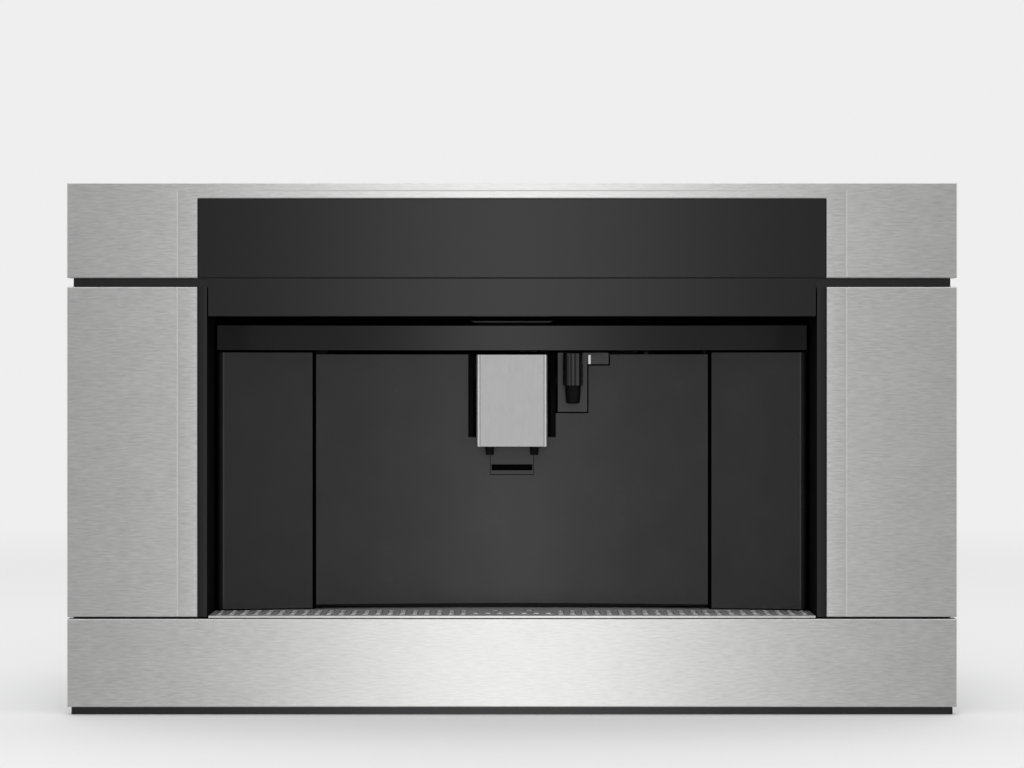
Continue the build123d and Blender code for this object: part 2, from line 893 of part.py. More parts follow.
def make_service_door():
    height = door_high - door_low
    over = door_thickness + slack
    rib_half = slot_half + door_rib
    pocket_low = door_low + door_rib
    pocket_high = door_high - door_rib
    with BuildPart() as service_door:
        extrude(curved_plan(-door_half, door_half, 0, door_low, far_behind=door_thickness), amount=height)
        block(-slot_half, slot_half, 0, niche_depth, slot_low, door_high, mode=Mode.SUBTRACT)
        block(-pull_half - slack, pull_half + slack, 0, niche_depth, pull_low - slack, slot_low,
              mode=Mode.SUBTRACT)
        block(0, notch_right, 0, niche_depth, notch_low, door_high, mode=Mode.SUBTRACT)
        block(0, latch_notch_right, 0, niche_depth, latch_notch_low, door_high, mode=Mode.SUBTRACT)
        extrude(curved_plan(hinge_x + 2 * hinge_margin, -rib_half, door_skin, pocket_low, far_behind=over),
                amount=pocket_high - pocket_low, mode=Mode.SUBTRACT)
        extrude(curved_plan(latch_notch_right + door_rib, door_half - door_rib, door_skin, pocket_low,
                            far_behind=over),
                amount=pocket_high - pocket_low, mode=Mode.SUBTRACT)
        extrude(curved_plan(door_rib - rib_half, latch_notch_right, door_skin, pocket_low, far_behind=over),
                amount=pull_low - 2 * door_rib - pocket_low, mode=Mode.SUBTRACT)
        post(hinge_x, hinge_depth, door_high - hinge_bore_length, door_high, hinge_pin_radius + fit,
             mode=Mode.SUBTRACT)
        post(hinge_x, hinge_depth, door_low, door_low + hinge_bore_length, hinge_pin_radius + fit,
             mode=Mode.SUBTRACT)
    save(service_door, "service_door")


def make_hinge_brackets():
    wall_inside = bay_half - bay_wall
    with BuildPart() as hinge_brackets:
        block(-wall_inside, hinge_x + hinge_margin, hinge_depth - bracket_reach, niche_depth + bracket_tail,
              bay_floor, door_low - hinge_gap)
        post(hinge_x, hinge_depth, door_low - hinge_gap, door_low + hinge_pin_length, hinge_pin_radius)
        block(hinge_x - hinge_margin, hinge_x + hinge_margin, hinge_depth - bracket_reach, bay_near - slack,
              door_high + hinge_gap, hood_low)
        post(hinge_x, hinge_depth, door_high - hinge_pin_length, door_high + hinge_gap, hinge_pin_radius)
    save(hinge_brackets, "hinge_brackets")


def make_door_catch():
    right = bay_half - bay_wall
    left = right - catch_width
    near = curve_at(left, door_thickness) + slack
    with BuildPart() as door_catch:
        block(left, right, near, near + catch_length, catch_low, catch_low + catch_height)
        fillet(edges().filter_by(Axis.X), catch_rounding)
    save(door_catch, "door_catch")


def make_door_pull():
    with BuildPart() as door_pull:
        block(-pull_half, pull_half, curve_depth, curve_depth + pull_depth, pull_low, slot_low - slack)
        block(-pull_half + pull_cheek, pull_half - pull_cheek, 0, curve_depth + pull_groove_depth,
              pull_groove_low, pull_groove_low + pull_groove_height, mode=Mode.SUBTRACT)
    save(door_pull, "door_pull")


def make_spout_channel():
    outer = slot_half - channel_fit
    inner = outer - channel_wall
    low = slot_low + channel_fit
    high = door_high - channel_fit
    flange_near = curve_at(outer + 2 * door_rib, door_thickness) + flange_gap
    with BuildPart() as spout_channel:
        block(-outer, outer, curve_depth, niche_depth, low, high)
        block(-inner, inner, 0, niche_depth - channel_back, low, high, mode=Mode.SUBTRACT)
        block(-inner - groove_depth, inner + groove_depth, groove_near, groove_near + groove_width, low, high,
              mode=Mode.SUBTRACT)
        block(-outer - channel_flange, -outer, flange_near, flange_near + channel_back, low, high)
    save(spout_channel, "spout_channel")


def make_spout():
    inner = slot_half - channel_fit - channel_wall - slack
    body_half = cover_half - cover_wall - slack
    body_low = cover_low + cover_wall
    with BuildPart() as spout_carriage:
        block(-body_half, body_half, cover_depth + cover_wall + slack, cover_back, body_low, carriage_high)
        front = edges().filter_by(Axis.Z).group_by(Axis.Y)[0]
        fillet(front, cover_rounding - cover_wall)
        block(-inner, inner, cover_back + slack, niche_depth - channel_back - slack, carriage_low,
              carriage_high)
        block(-body_half, body_half, cover_back, cover_back + slack, carriage_low, carriage_high)
        block(-inner - groove_depth, inner + groove_depth, groove_near + slack,
              groove_near + groove_width - slack, carriage_low, carriage_high)
    save(spout_carriage, "spout_carriage")

    with BuildPart() as spout_cover:
        block(-cover_half, cover_half, cover_depth, cover_back, cover_low, cover_high)
        front = edges().filter_by(Axis.Z).group_by(Axis.Y)[0]
        fillet(front, cover_rounding)
        with BuildSketch(Plane.XY.offset(cover_low)) as inside:
            with Locations((0, y_at((cover_depth + cover_wall + cover_back) / 2))):
                Rectangle(2 * (cover_half - cover_wall), cover_back - cover_depth - cover_wall)
            fillet(inside.vertices().group_by(Axis.Y)[0], cover_rounding - cover_wall)
        extrude(inside.sketch, amount=cover_high - cover_low - cover_wall, mode=Mode.SUBTRACT)
    save(spout_cover, "spout_cover")

    with BuildPart() as spout_tips:
        for side in (-1, 1):
            x = side * tip_spacing / 2
            with BuildSketch(Plane.XY.offset(body_low)) as root:
                with Locations((x, y_at(tip_depth))):
                    Circle(tip_radius)
            extrude(root.sketch, amount=-tip_length, taper=tip_taper)
            post(x, tip_depth, body_low - tip_length, body_low - tip_length / 3, tip_bore, mode=Mode.SUBTRACT)
    save(spout_tips, "spout_tips")


# Hot water nozzle


def make_nozzle_carrier():
    far = carrier_near + carrier_thickness
    right = notch_right - notch_gap
    arm_low = latch_notch_low + notch_gap
    arm_right = latch_notch_right - notch_gap
    slot_low_z = release_centre() - release_shank / 2 - slack
    with BuildPart() as nozzle_carrier:
        outline = [
            (carrier_left, notch_low + notch_gap),
            (right, notch_low + notch_gap),
            (right, arm_low),
            (arm_right, arm_low),
            (arm_right, hood_low),
            (carrier_left, hood_low),
        ]
        prism(facing(far), outline, carrier_thickness)
        bar(nozzle_x, plug_height, far, far + carrier_boss_length, carrier_boss_radius)
        bar(nozzle_x, plug_height, carrier_near, far + carrier_boss_length, plug_radius + fit,
            mode=Mode.SUBTRACT)
        slot_reach = release_shank / 2 + slack
        block(release_stem_x - slot_reach, release_stem_x + slot_reach + release_travel, carrier_near, far,
              slot_low_z, slot_low_z + 2 * slot_reach, mode=Mode.SUBTRACT)
        block(carrier_left, arm_right, carrier_near, carrier_near + carrier_rebate, liner_high, hood_low,
              mode=Mode.SUBTRACT)
    save(nozzle_carrier, "nozzle_carrier")


def release_centre():
    return latch_notch_low + notch_gap + release_height / 2 + slack


def make_nozzle():
    with BuildPart() as hot_water_nozzle:
        post(nozzle_x, nozzle_depth, nozzle_low, nozzle_high, nozzle_radius)
        chamfer(faces().sort_by(Axis.Z)[-1].edges(), nozzle_bevel)
        bar(nozzle_x, plug_height, nozzle_depth, carrier_near - slack, plug_neck_radius)
        bar(nozzle_x, plug_height, carrier_near - slack, carrier_near - slack + plug_length, plug_radius)
        post(nozzle_x, nozzle_depth, nozzle_low, plug_height, nozzle_bore, mode=Mode.SUBTRACT)
    save(hot_water_nozzle, "hot_water_nozzle")

    with BuildPart() as nozzle_tip:
        with BuildSketch(Plane.XY.offset(nozzle_low)) as root:
            with Locations((nozzle_x, y_at(nozzle_depth))):
                Circle(nozzle_tip_radius)
        extrude(root.sketch, amount=nozzle_tip_low - nozzle_low, taper=nozzle_tip_taper)
        chamfer(faces().sort_by(Axis.Z)[0].edges(), nozzle_tip_bevel)
        post(nozzle_x, nozzle_depth, nozzle_tip_low, nozzle_low, nozzle_bore, mode=Mode.SUBTRACT)
    save(nozzle_tip, "nozzle_tip")


def make_nozzle_release():
    left = release_x - release_half
    centre = release_centre()
    near = carrier_near - slack - release_plate
    with BuildPart() as nozzle_release:
        block(left, release_x + release_half, near, carrier_near - slack, centre - release_height / 2,
              centre + release_height / 2)
        block(left, left + release_lip, near - release_lip_reach, near, centre - release_height / 2,
              centre + release_height / 2)
        shank = release_shank / 2
        block(release_stem_x - shank, release_stem_x + shank, carrier_near - slack,
              carrier_near + carrier_thickness, centre - shank, centre + shank)
    save(nozzle_release, "nozzle_release")


# Drip drawer


def plate_plan(low, half, near, rear, rear_half):
    """Plan of the cup plate and tray: wide in front, its sides follow the niche curve, narrow behind."""
    side_rear = curve_at(half) - plate_curve_gap
    step_rear = curve_at(rear_half) - plate_curve_gap
    middle = (half + rear_half) / 2
    middle_rear = curve_at(middle) - plate_curve_gap
    with BuildSketch(Plane.XY.offset(low)) as outline:
        with BuildLine():
            Polyline((rear_half, y_at(step_rear)), (rear_half, y_at(rear)), (-rear_half, y_at(rear)),
                     (-rear_half, y_at(step_rear)))
            ThreePointArc((-rear_half, y_at(step_rear)), (-middle, y_at(middle_rear)),
                          (-half, y_at(side_rear)))
            Polyline((-half, y_at(side_rear)), (-half, y_at(near)), (half, y_at(near)),
                     (half, y_at(side_rear)))
            ThreePointArc((half, y_at(side_rear)), (middle, y_at(middle_rear)),
                          (rear_half, y_at(step_rear)))
        make_face()
    return outline.sketch


def make_bottom_panel():
    half = front_width / 2
    with BuildPart() as bottom_panel:
        outline = rectangle_points(-half, half, bottom_panel_low, bottom_panel_high)
        folded_panel(outline, 0, frame_front - slack)
    save(bottom_panel, "bottom_panel")


def make_drip_tray():
    half = niche_half - plate_side_gap - tray_wall
    near = frame_front - slack
    with BuildPart() as drip_tray:
        extrude(plate_plan(tray_floor, half, near, tray_rear, tray_rear_half), amount=plate_low - tray_floor)
        extrude(plate_plan(tray_floor + tray_wall, half - tray_wall, near + tray_wall, tray_rear - tray_wall,
                           tray_rear_half - tray_wall),
                amount=plate_low - tray_floor, mode=Mode.SUBTRACT)
    save(drip_tray, "drip_tray")


def make_cup_plate():
    half = niche_half - plate_side_gap
    with BuildPart() as cup_plate:
        extrude(plate_plan(plate_low, half, glass_setback, plate_rear, plate_rear_half),
                amount=plate_thickness)
        with BuildSketch(Plane.XY.offset(plate_low)) as holes:
            for column in range(-hole_columns, hole_columns + 1):
                x = column * hole_pitch
                if abs(column) <= hole_bare_columns:
                    with Locations((x, y_at(front_hole_depth))):
                        Rectangle(front_hole_size, front_hole_size)
                else:
                    for row in range(slot_rows):
                        depth = slot_first + slot_row_pitch * row
                        if depth + slot_length / 2 < curve_at(x) - 2 * plate_curve_gap:
                            with Locations((x, y_at(depth))):
                                Rectangle(slot_width, slot_length)
            with Locations((-drain_spacing / 2, y_at(drain_depth)), (drain_spacing / 2, y_at(drain_depth))):
                Circle(drain_radius)
        extrude(holes.sketch, amount=plate_thickness, mode=Mode.SUBTRACT)
    save(cup_plate, "cup_plate")


# Hopper, funnel and grinder


def funnel_form(x, depth, width, length, throat, top, low, rounding):
    """Four-sided funnel from a mouth down to a square throat, with rounded corners."""
    with BuildPart() as form:
        across = [(x - width / 2, top), (x + width / 2, top), (x + throat, low), (x - throat, low)]
        prism(facing(depth + length / 2), across, length)
        along = [(y_at(depth - length / 2), top), (y_at(depth + length / 2), top),
                 (y_at(depth + throat), low), (y_at(depth - throat), low)]
        prism(Plane.YZ.offset(x - width / 2), along, width, mode=Mode.INTERSECT)
        fillet(edges() - edges().filter_by(Plane.XY), rounding)
    return form.part


def funnel_shell(x, depth, width, length, throat, top, low):
    outer = throat + hopper_wall
    add(funnel_form(x, depth, width, length, outer, top, low, hopper_rounding))
    inside = funnel_form(x, depth, width - 2 * hopper_wall, length - 2 * hopper_wall, throat, top, low,
                         hopper_rounding - hopper_wall)
    add(inside, mode=Mode.SUBTRACT)


def make_hopper():
    hopper_low = deck_high + motor_height + grinder_height
    with BuildPart() as bean_hopper:
        funnel_shell(hopper_x, hopper_depth, hopper_width, hopper_length, hopper_throat, top_low, hopper_low)
    save(bean_hopper, "bean_hopper")
    with BuildPart() as ground_coffee_funnel:
        funnel_shell(funnel_x, funnel_depth, funnel_width, funnel_length, funnel_throat, top_low, funnel_low)
    save(ground_coffee_funnel, "ground_coffee_funnel")


def cut_burr_teeth(radius, height, lean, count):
    """Slanting V grooves cut all round a burr, inside the part that is open."""
    centre = Pos(hopper_x, y_at(hopper_depth), height)
    for tooth in range(count):
        outward = centre * Rot(0, 0, tooth * 360 / count) * Pos(radius, 0, 0)
        along = outward * Rot(0, lean, 0) * Rot(burr_skew, 0, 0)
        with Locations(along * Rot(0, 0, 45)):
            Box(burr_tooth, burr_tooth, 2 * burr_height, mode=Mode.SUBTRACT)


def make_grinder():
    low = deck_high + motor_height
    high = low + grinder_height
    with BuildPart() as grinder_motor:
        post(hopper_x, hopper_depth, deck_high, low, motor_radius)
        post(hopper_x, hopper_depth, low - burr_shaft_length, low, burr_shaft_radius + fit,
             mode=Mode.SUBTRACT)
    save(grinder_motor, "grinder_motor")

    with BuildPart() as grinder_housing:
        post(hopper_x, hopper_depth, low, high, grinder_radius)
        post(knob_x, hopper_depth, low, low + burr_height, boss_radius)
        block(hopper_x, knob_x, hopper_depth - boss_radius, hopper_depth + boss_radius, low,
              low + burr_height)
        block(chute_left() - deck_gap - chute_width / 2, chute_left() + chute_width,
              hopper_depth - chute_width / 2, hopper_depth + chute_width / 2, low - chute_width,
              low + burr_height / 2)
        post(hopper_x, hopper_depth, low - chute_width, low, motor_radius + slack, mode=Mode.SUBTRACT)
        block(chute_left() + hopper_wall, chute_left() + chute_width - hopper_wall,
              hopper_depth - chute_width / 2 + hopper_wall, hopper_depth + chute_width / 2 - hopper_wall,
              low - chute_width, low + burr_height / 2 - hopper_wall, mode=Mode.SUBTRACT)
        post(hopper_x, hopper_depth, low, high, burr_shaft_radius + deck_gap, mode=Mode.SUBTRACT)
        post(hopper_x, hopper_depth, low + hopper_wall, high, burr_bore, mode=Mode.SUBTRACT)
        post(knob_x, hopper_depth, low, low + burr_height, spindle_radius + fit, mode=Mode.SUBTRACT)
    save(grinder_housing, "grinder_housing")

    burr_low = low + 2 * hopper_wall
    shaft_low = low - burr_shaft_length + shaft_gap
    with BuildPart() as burr_ring:
        post(hopper_x, hopper_depth, burr_low, burr_low + burr_height, burr_bore)
        post(hopper_x, hopper_depth, burr_low, burr_low + burr_height, burr_inner, mode=Mode.SUBTRACT)
        cut_burr_teeth(burr_inner, burr_low + burr_height / 2, 0, ring_teeth)
    save(burr_ring, "burr_ring")

    with BuildPart() as burr_cone:
        with BuildSketch(Plane.XZ.offset(-y_at(hopper_depth))) as half_section:
            with BuildLine():
                Polyline(
                    (hopper_x, shaft_low),
                    (hopper_x + burr_shaft_radius, shaft_low),
                    (hopper_x + burr_shaft_radius, burr_low),
                    (hopper_x + burr_cone_radius, burr_low),
                    (hopper_x + burr_tip_radius, burr_low + burr_height),
                    (hopper_x, burr_low + burr_height),
                    close=True,
                )
            make_face()
        revolve(half_section.sketch, axis=Axis((hopper_x, y_at(hopper_depth), 0), (0, 0, 1)))
        mean_radius = (burr_cone_radius + burr_tip_radius) / 2
        lean = -math.degrees(math.atan((burr_cone_radius - burr_tip_radius) / burr_height))
        cut_burr_teeth(mean_radius, burr_low + burr_height / 2, lean, burr_teeth)
    save(burr_cone, "burr_cone")

    with BuildPart() as grind_knob:
        post(knob_x, hopper_depth, case_high + slack, case_high + slack + knob_height, knob_radius)
        chamfer(faces().sort_by(Axis.Z)[-1].edges(), knob_bevel)
        with BuildSketch(Plane.XY.offset(case_high + slack)) as flutes:
            with PolarLocations(knob_radius + flute_radius / 2, flute_count):
                Circle(flute_radius)
        moved = flutes.sketch.moved(Location((knob_x, y_at(hopper_depth), 0)))
        extrude(moved, amount=knob_height, mode=Mode.SUBTRACT)
        post(knob_x, hopper_depth, low + shaft_gap, case_high + slack, spindle_radius)
    save(grind_knob, "grind_knob")


# Brew unit


def make_brew_unit():
    bottom_high = bay_floor + brew_plate
    top_low_z = brew_high - brew_plate
    with BuildPart() as brew_frame:
        outline = [
            (y_at(brew_near), bay_floor),
            (y_at(brew_back), bay_floor),
            (y_at(brew_back), brew_high),
            (y_at(brew_near), brew_high),
            (y_at(brew_near), top_low_z),
            (y_at(brew_back - brew_plate), top_low_z),
            (y_at(brew_back - brew_plate), bottom_high),
            (y_at(brew_near), bottom_high),
        ]
        prism(Plane.YZ.offset(brew_left), outline, brew_right - brew_left)
        post(screw_x, screw_depth, bay_floor + screw_foot, brew_high, screw_radius + fit, mode=Mode.SUBTRACT)
        post(funnel_x, funnel_depth - brew_plate, top_low_z, brew_high, funnel_throat, mode=Mode.SUBTRACT)
    save(brew_frame, "brew_frame")

    with BuildPart() as brew_piston:
        post(chamber_x, chamber_depth, piston_low + brew_plate, top_low_z, piston_rod_radius)
        post(chamber_x, chamber_depth, piston_low, piston_low + brew_plate, chamber_bore - slack)
    save(brew_piston, "brew_piston")

    with BuildPart() as brew_screw:
        post(screw_x, screw_depth, bay_floor + screw_foot + slack, screw_high, screw_radius)
    save(brew_screw, "brew_screw")

    arm_low = chamber_low + chamber_floor
    with BuildPart() as brew_carriage:
        post(chamber_x, chamber_depth, chamber_low, chamber_low + chamber_height, chamber_radius)
        arm_back = brew_back - brew_plate - slack
        block(chamber_x, screw_x + 2 * screw_radius, screw_depth - 2 * screw_radius, arm_back, arm_low,
              arm_low + carriage_arm)
        block(chamber_x - chamber_radius, chamber_x + chamber_radius, chamber_depth, arm_back, arm_low,
              arm_low + carriage_arm)
        post(chamber_x, chamber_depth, chamber_low + chamber_floor, chamber_low + chamber_height,
             chamber_bore, mode=Mode.SUBTRACT)
        post(screw_x, screw_depth, arm_low, arm_low + carriage_arm, screw_radius + fit, mode=Mode.SUBTRACT)
    save(brew_carriage, "brew_carriage")

    half = gearmotor_width / 2
    with BuildPart() as brew_gearmotor:
        block(screw_x - half, screw_x + gearmotor_radius, screw_depth - half, screw_depth + half, deck_high,
              deck_high + gearmotor_height / 2)
        fillet(edges().filter_by(Axis.Z), gearbox_rounding)
        post(screw_x - (half - gearmotor_radius) / 2, screw_depth, deck_high, deck_high + gearmotor_height,
             gearmotor_radius)
        post(screw_x, screw_depth, deck_high, screw_high + shaft_gap, screw_radius + fit, mode=Mode.SUBTRACT)
    save(brew_gearmotor, "brew_gearmotor")

    with BuildPart() as grounds_container:
        block(grounds_left, grounds_right, grounds_near, grounds_back, bay_floor, grounds_high)
        fillet(edges().filter_by(Axis.Z), 3 * grounds_wall)
        inner_left = grounds_left + grounds_wall
        inner_right = grounds_right - grounds_wall
        with BuildSketch(Plane.XY.offset(bay_floor + grounds_wall)) as inside:
            with Locations(((inner_left + inner_right) / 2, y_at((grounds_near + grounds_back) / 2))):
                RectangleRounded(inner_right - inner_left, grounds_back - grounds_near - 2 * grounds_wall,
                                 2 * grounds_wall)
        extrude(inside.sketch, amount=grounds_high - bay_floor, mode=Mode.SUBTRACT)
    save(grounds_container, "grounds_container")


# Water tank


def make_water_tank():
    with BuildPart() as water_tank:
        block(tank_left, tank_right, tank_near, tank_back, tank_low, tank_high)
        fillet(edges().filter_by(Axis.Z), tank_rounding)
        with BuildSketch(Plane.XY.offset(tank_low + tank_wall)) as inside:
            with Locations(((tank_left + tank_right) / 2, y_at((tank_near + tank_back) / 2))):
                RectangleRounded(tank_right - tank_left - 2 * tank_wall,
                                 tank_back - tank_near - 2 * tank_wall, tank_rounding - tank_wall)
        extrude(inside.sketch, amount=tank_high - tank_low, mode=Mode.SUBTRACT)
        post((tank_left + tank_right) / 2, (tank_near + tank_back) / 2, tank_low - tank_spigot_length,
             tank_low, tank_spigot_radius)
    save(water_tank, "water_tank")

    with BuildPart() as tank_lid:
        block(tank_left, tank_right, tank_near, tank_back, tank_high, tank_high + tank_lid_height)
        fillet(edges().filter_by(Axis.Z), tank_rounding)
        grip_near = tank_near + grip_margin
        block(tank_left + grip_margin, tank_right - grip_margin, grip_near, grip_near + grip_length,
              tank_high + tank_wall, tank_high + tank_lid_height, mode=Mode.SUBTRACT)
    save(tank_lid, "tank_lid")

    left = tank_left - tank_gap - cradle_sheet
    near = tank_near - tank_gap
    far = tank_back + tank_gap
    middle_x = (tank_left + tank_right) / 2
    middle_depth = (tank_near + tank_back) / 2
    with BuildPart() as tank_cradle:
        block(left, case_half, near - cradle_sheet, far + cradle_sheet, tank_low - cradle_sheet,
              tank_low + cradle_lip)
        block(left + cradle_sheet, tank_right + tank_gap, near, far, tank_low, tank_low + cradle_lip,
              mode=Mode.SUBTRACT)
        post(middle_x, middle_depth, tank_low - tank_spigot_length - cradle_sheet, tank_low - cradle_sheet,
             tank_spigot_radius + 2 * cradle_sheet)
        post(middle_x, middle_depth, tank_low - tank_spigot_length - cradle_sheet, tank_low,
             tank_spigot_radius + 2 * fit, mode=Mode.SUBTRACT)
    save(tank_cradle, "tank_cradle")


# Boilers, pump, boards, inlet, switch and screws


def make_boilers():
    sizes = (
        (coffee_boiler_depth, coffee_boiler_radius, coffee_boiler_height),
        (steam_boiler_depth, steam_boiler_radius, steam_boiler_height),
    )
    with BuildPart() as boilers:
        for depth, radius, height in sizes:
            post(boiler_x, depth, deck_high, deck_high + height, radius)
            rim = faces().filter_by(Axis.Z).sort_by(Axis.Z)[-1].edges()
            chamfer(rim, boiler_dome_rise, boiler_dome_reach)
        for depth, radius, height in sizes:
            top = deck_high + height
            post(boiler_x, depth, top, top + boiler_fitting_height, boiler_fitting_radius)
    save(boilers, "boilers")


def make_pump():
    centre = deck_high + pump_radius
    with BuildPart() as pump:
        bar(pump_x, centre, pump_near, pump_near + pump_length, pump_radius)
        block(pump_x - pump_radius, pump_x + pump_radius, pump_near + pump_radius,
              pump_near + 2 * pump_radius, deck_high, centre)
        bar(pump_x, centre, pump_near - pump_radius, pump_near, pump_outlet_radius)
    save(pump, "pump")


def make_power_board():
    wall = -case_half
    face = wall + board_standoff
    with BuildPart() as power_board:
        block(face, face + board_sheet, board_near, board_back, board_low, board_high)
        for depth in (board_near + board_standoff, board_back - board_standoff):
            for height in (board_low + board_standoff, board_high - board_standoff):
                cross_bar(wall, face, depth, height, board_standoff / 2)
        near = board_near + transformer_margin
        low = board_low + transformer_margin
        block(face + board_sheet, face + board_sheet + transformer_height, near, near + transformer_side, low,
              low + transformer_side)
    save(power_board, "power_board")


def make_power_inlet():
    half = inlet_width / 2
    tall = inlet_tall / 2
    socket_half = socket_width / 2
    body_near = case_back - inlet_length
    socket_near = body_near + inlet_wall
    switch_half = switch_width / 2
    switch_reach = switch_tall / 2
    switch_near = switch_pivot_depth - switch_flange
    with BuildPart() as power_inlet:
        block(inlet_x - half - inlet_wall, inlet_x + half + inlet_wall, case_back, overall_depth,
              inlet_height - tall - inlet_wall, inlet_height + tall + inlet_wall)
        block(inlet_x - half, inlet_x + half, body_near, case_back, inlet_height - tall, inlet_height + tall)
        block(inlet_x - socket_half, inlet_x + socket_half, socket_near, overall_depth,
              inlet_height - socket_tall / 2, inlet_height + socket_tall / 2, mode=Mode.SUBTRACT)
        for x in (inlet_x - contact_spacing, inlet_x, inlet_x + contact_spacing):
            block(x - contact_width / 2, x + contact_width / 2, socket_near, case_back - inlet_wall,
                  inlet_height - contact_tall / 2, inlet_height + contact_tall / 2)
        flange_reach = switch_reach + switch_flange
        block(switch_x - switch_half - switch_flange, switch_x + switch_half + switch_flange, case_back,
              overall_depth, inlet_height - flange_reach, inlet_height + flange_reach)
        block(switch_x - switch_half - switch_wall, switch_x + switch_half + switch_wall,
              switch_near - switch_wall, case_back, inlet_height - switch_reach - sheet,
              inlet_height + switch_reach + sheet)
        block(switch_x - switch_half - slack, switch_x + switch_half + slack, switch_near, overall_depth,
              inlet_height - switch_reach, inlet_height + switch_reach, mode=Mode.SUBTRACT)
        cross_bar(switch_x - switch_half - switch_pin_reach, switch_x + switch_half + switch_pin_reach,
                  switch_pivot_depth, inlet_height, switch_pin_radius + fit, mode=Mode.SUBTRACT)
    save(power_inlet, "power_inlet")


def make_main_switch():
    half = switch_width / 2
    pin_half = half + switch_pin_reach - slack
    tilt = math.radians(switch_tilt)
    reach = switch_tall / 2 - rocker_margin
    rocker_plane = Plane(
        origin=(switch_x - half, y_at(switch_pivot_depth), inlet_height),
        x_dir=(0, math.cos(tilt), math.sin(tilt)),
        z_dir=(1, 0, 0),
    )
    outline = [
        (-rocker_root, -reach / 2),
        (rocker_crown + rocker_rise, -reach),
        (rocker_crown, 0),
        (rocker_crown + rocker_rise, reach),
        (-rocker_root, reach / 2),
    ]
    with BuildPart() as main_switch:
        prism(rocker_plane, outline, switch_width)
        cross_bar(switch_x - pin_half, switch_x + pin_half, switch_pivot_depth, inlet_height,
                  switch_pin_radius)
    save(main_switch, "main_switch")


def make_screws():
    with BuildPart() as case_screws:
        for x, depth in top_screw_places():
            post(x, depth, case_high, case_high + screw_head_height, screw_head_radius)
            post(x, depth, case_high - screw_length, case_high, screw_shank_radius)
        for x, height in rear_screw_places():
            bar(x, height, case_back, case_back + screw_head_height, screw_head_radius)
            bar(x, height, case_back - screw_length, case_back, screw_shank_radius)
    save(case_screws, "case_screws")


make_upper_trim()
make_wings()
make_front_frame()
make_control_glass()
make_control_board()
make_fascia()
make_niche_surround()
make_niche_hood()
make_niche_liner()
make_cup_light()
make_case()
make_top_cover()
make_lid("hopper_lid", hopper_x, hopper_depth, hopper_width, hopper_length)
make_lid("funnel_lid", funnel_x, funnel_depth, funnel_width, funnel_length)
make_rails()
make_service_door()
make_hinge_brackets()
make_door_catch()
make_door_pull()
make_spout_channel()
make_spout()
make_nozzle_carrier()
make_nozzle()
make_nozzle_release()
make_bottom_panel()
make_drip_tray()
make_cup_plate()
make_hopper()
make_grinder()
make_brew_unit()
make_water_tank()
make_boilers()
make_pump()
make_power_board()
make_power_inlet()
make_main_switch()
make_screws()
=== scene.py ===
import json
import math
import bmesh
import bpy
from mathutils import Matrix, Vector

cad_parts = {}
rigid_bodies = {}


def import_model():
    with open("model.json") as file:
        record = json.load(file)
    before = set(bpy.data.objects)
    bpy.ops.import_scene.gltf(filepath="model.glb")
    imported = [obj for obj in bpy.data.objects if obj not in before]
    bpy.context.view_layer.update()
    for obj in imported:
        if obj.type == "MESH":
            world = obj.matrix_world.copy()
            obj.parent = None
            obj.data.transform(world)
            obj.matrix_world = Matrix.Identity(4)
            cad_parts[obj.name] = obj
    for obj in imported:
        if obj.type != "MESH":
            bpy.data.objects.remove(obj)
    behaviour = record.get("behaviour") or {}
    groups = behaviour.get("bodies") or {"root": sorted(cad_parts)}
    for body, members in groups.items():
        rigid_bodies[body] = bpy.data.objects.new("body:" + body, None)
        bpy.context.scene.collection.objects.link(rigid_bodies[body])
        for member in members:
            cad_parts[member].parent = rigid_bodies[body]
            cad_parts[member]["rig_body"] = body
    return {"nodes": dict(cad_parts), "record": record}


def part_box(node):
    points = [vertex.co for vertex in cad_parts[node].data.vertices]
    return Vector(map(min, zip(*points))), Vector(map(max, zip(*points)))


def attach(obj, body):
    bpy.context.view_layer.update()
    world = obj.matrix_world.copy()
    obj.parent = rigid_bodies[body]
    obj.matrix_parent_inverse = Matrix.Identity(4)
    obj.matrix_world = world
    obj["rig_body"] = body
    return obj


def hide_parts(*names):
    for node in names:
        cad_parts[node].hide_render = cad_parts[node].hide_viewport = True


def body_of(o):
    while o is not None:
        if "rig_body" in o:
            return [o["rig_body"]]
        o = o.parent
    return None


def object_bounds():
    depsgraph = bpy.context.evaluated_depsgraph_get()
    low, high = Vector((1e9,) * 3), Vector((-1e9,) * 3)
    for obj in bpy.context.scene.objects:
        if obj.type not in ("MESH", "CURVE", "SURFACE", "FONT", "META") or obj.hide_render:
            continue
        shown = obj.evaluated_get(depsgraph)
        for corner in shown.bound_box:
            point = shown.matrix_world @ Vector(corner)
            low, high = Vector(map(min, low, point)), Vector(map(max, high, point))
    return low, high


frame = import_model()
cadBox = [list(corner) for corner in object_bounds()]
frontPlane = cadBox[0][1]
nodes = frame["nodes"]
bodyOf = {name: body_of(piece)[0] for name, piece in nodes.items()}
slotOf = {row["node"]: row["material_slot"] for row in frame["record"]["subparts"]}
scene = bpy.context.scene
print("frame loaded,", len(nodes), "nodes")


# node helpers

noiseLook = {
    "roughness": 0.6,
    "low": 0.3,    # nearly all of the noise lies between low and high
    "high": 0.7,
}


def even(value):
    # a grey, or the same fineness along every axis
    return (value, value, value)


def setSockets(node, sockets):
    # a blank in a socket's name is written as _
    for name, value in sockets.items():
        node.inputs[name.replace("_", " ")].default_value = value


def addNode(tree, kind, **sockets):
    node = tree.nodes.new(kind)
    setSockets(node, sockets)
    return node


def newSurface(name, **sockets):
    material = bpy.data.materials.new(name)
    material.use_nodes = True
    tree = material.node_tree
    shader = tree.nodes["Principled BSDF"]
    setSockets(shader, sockets)
    return material, tree, shader


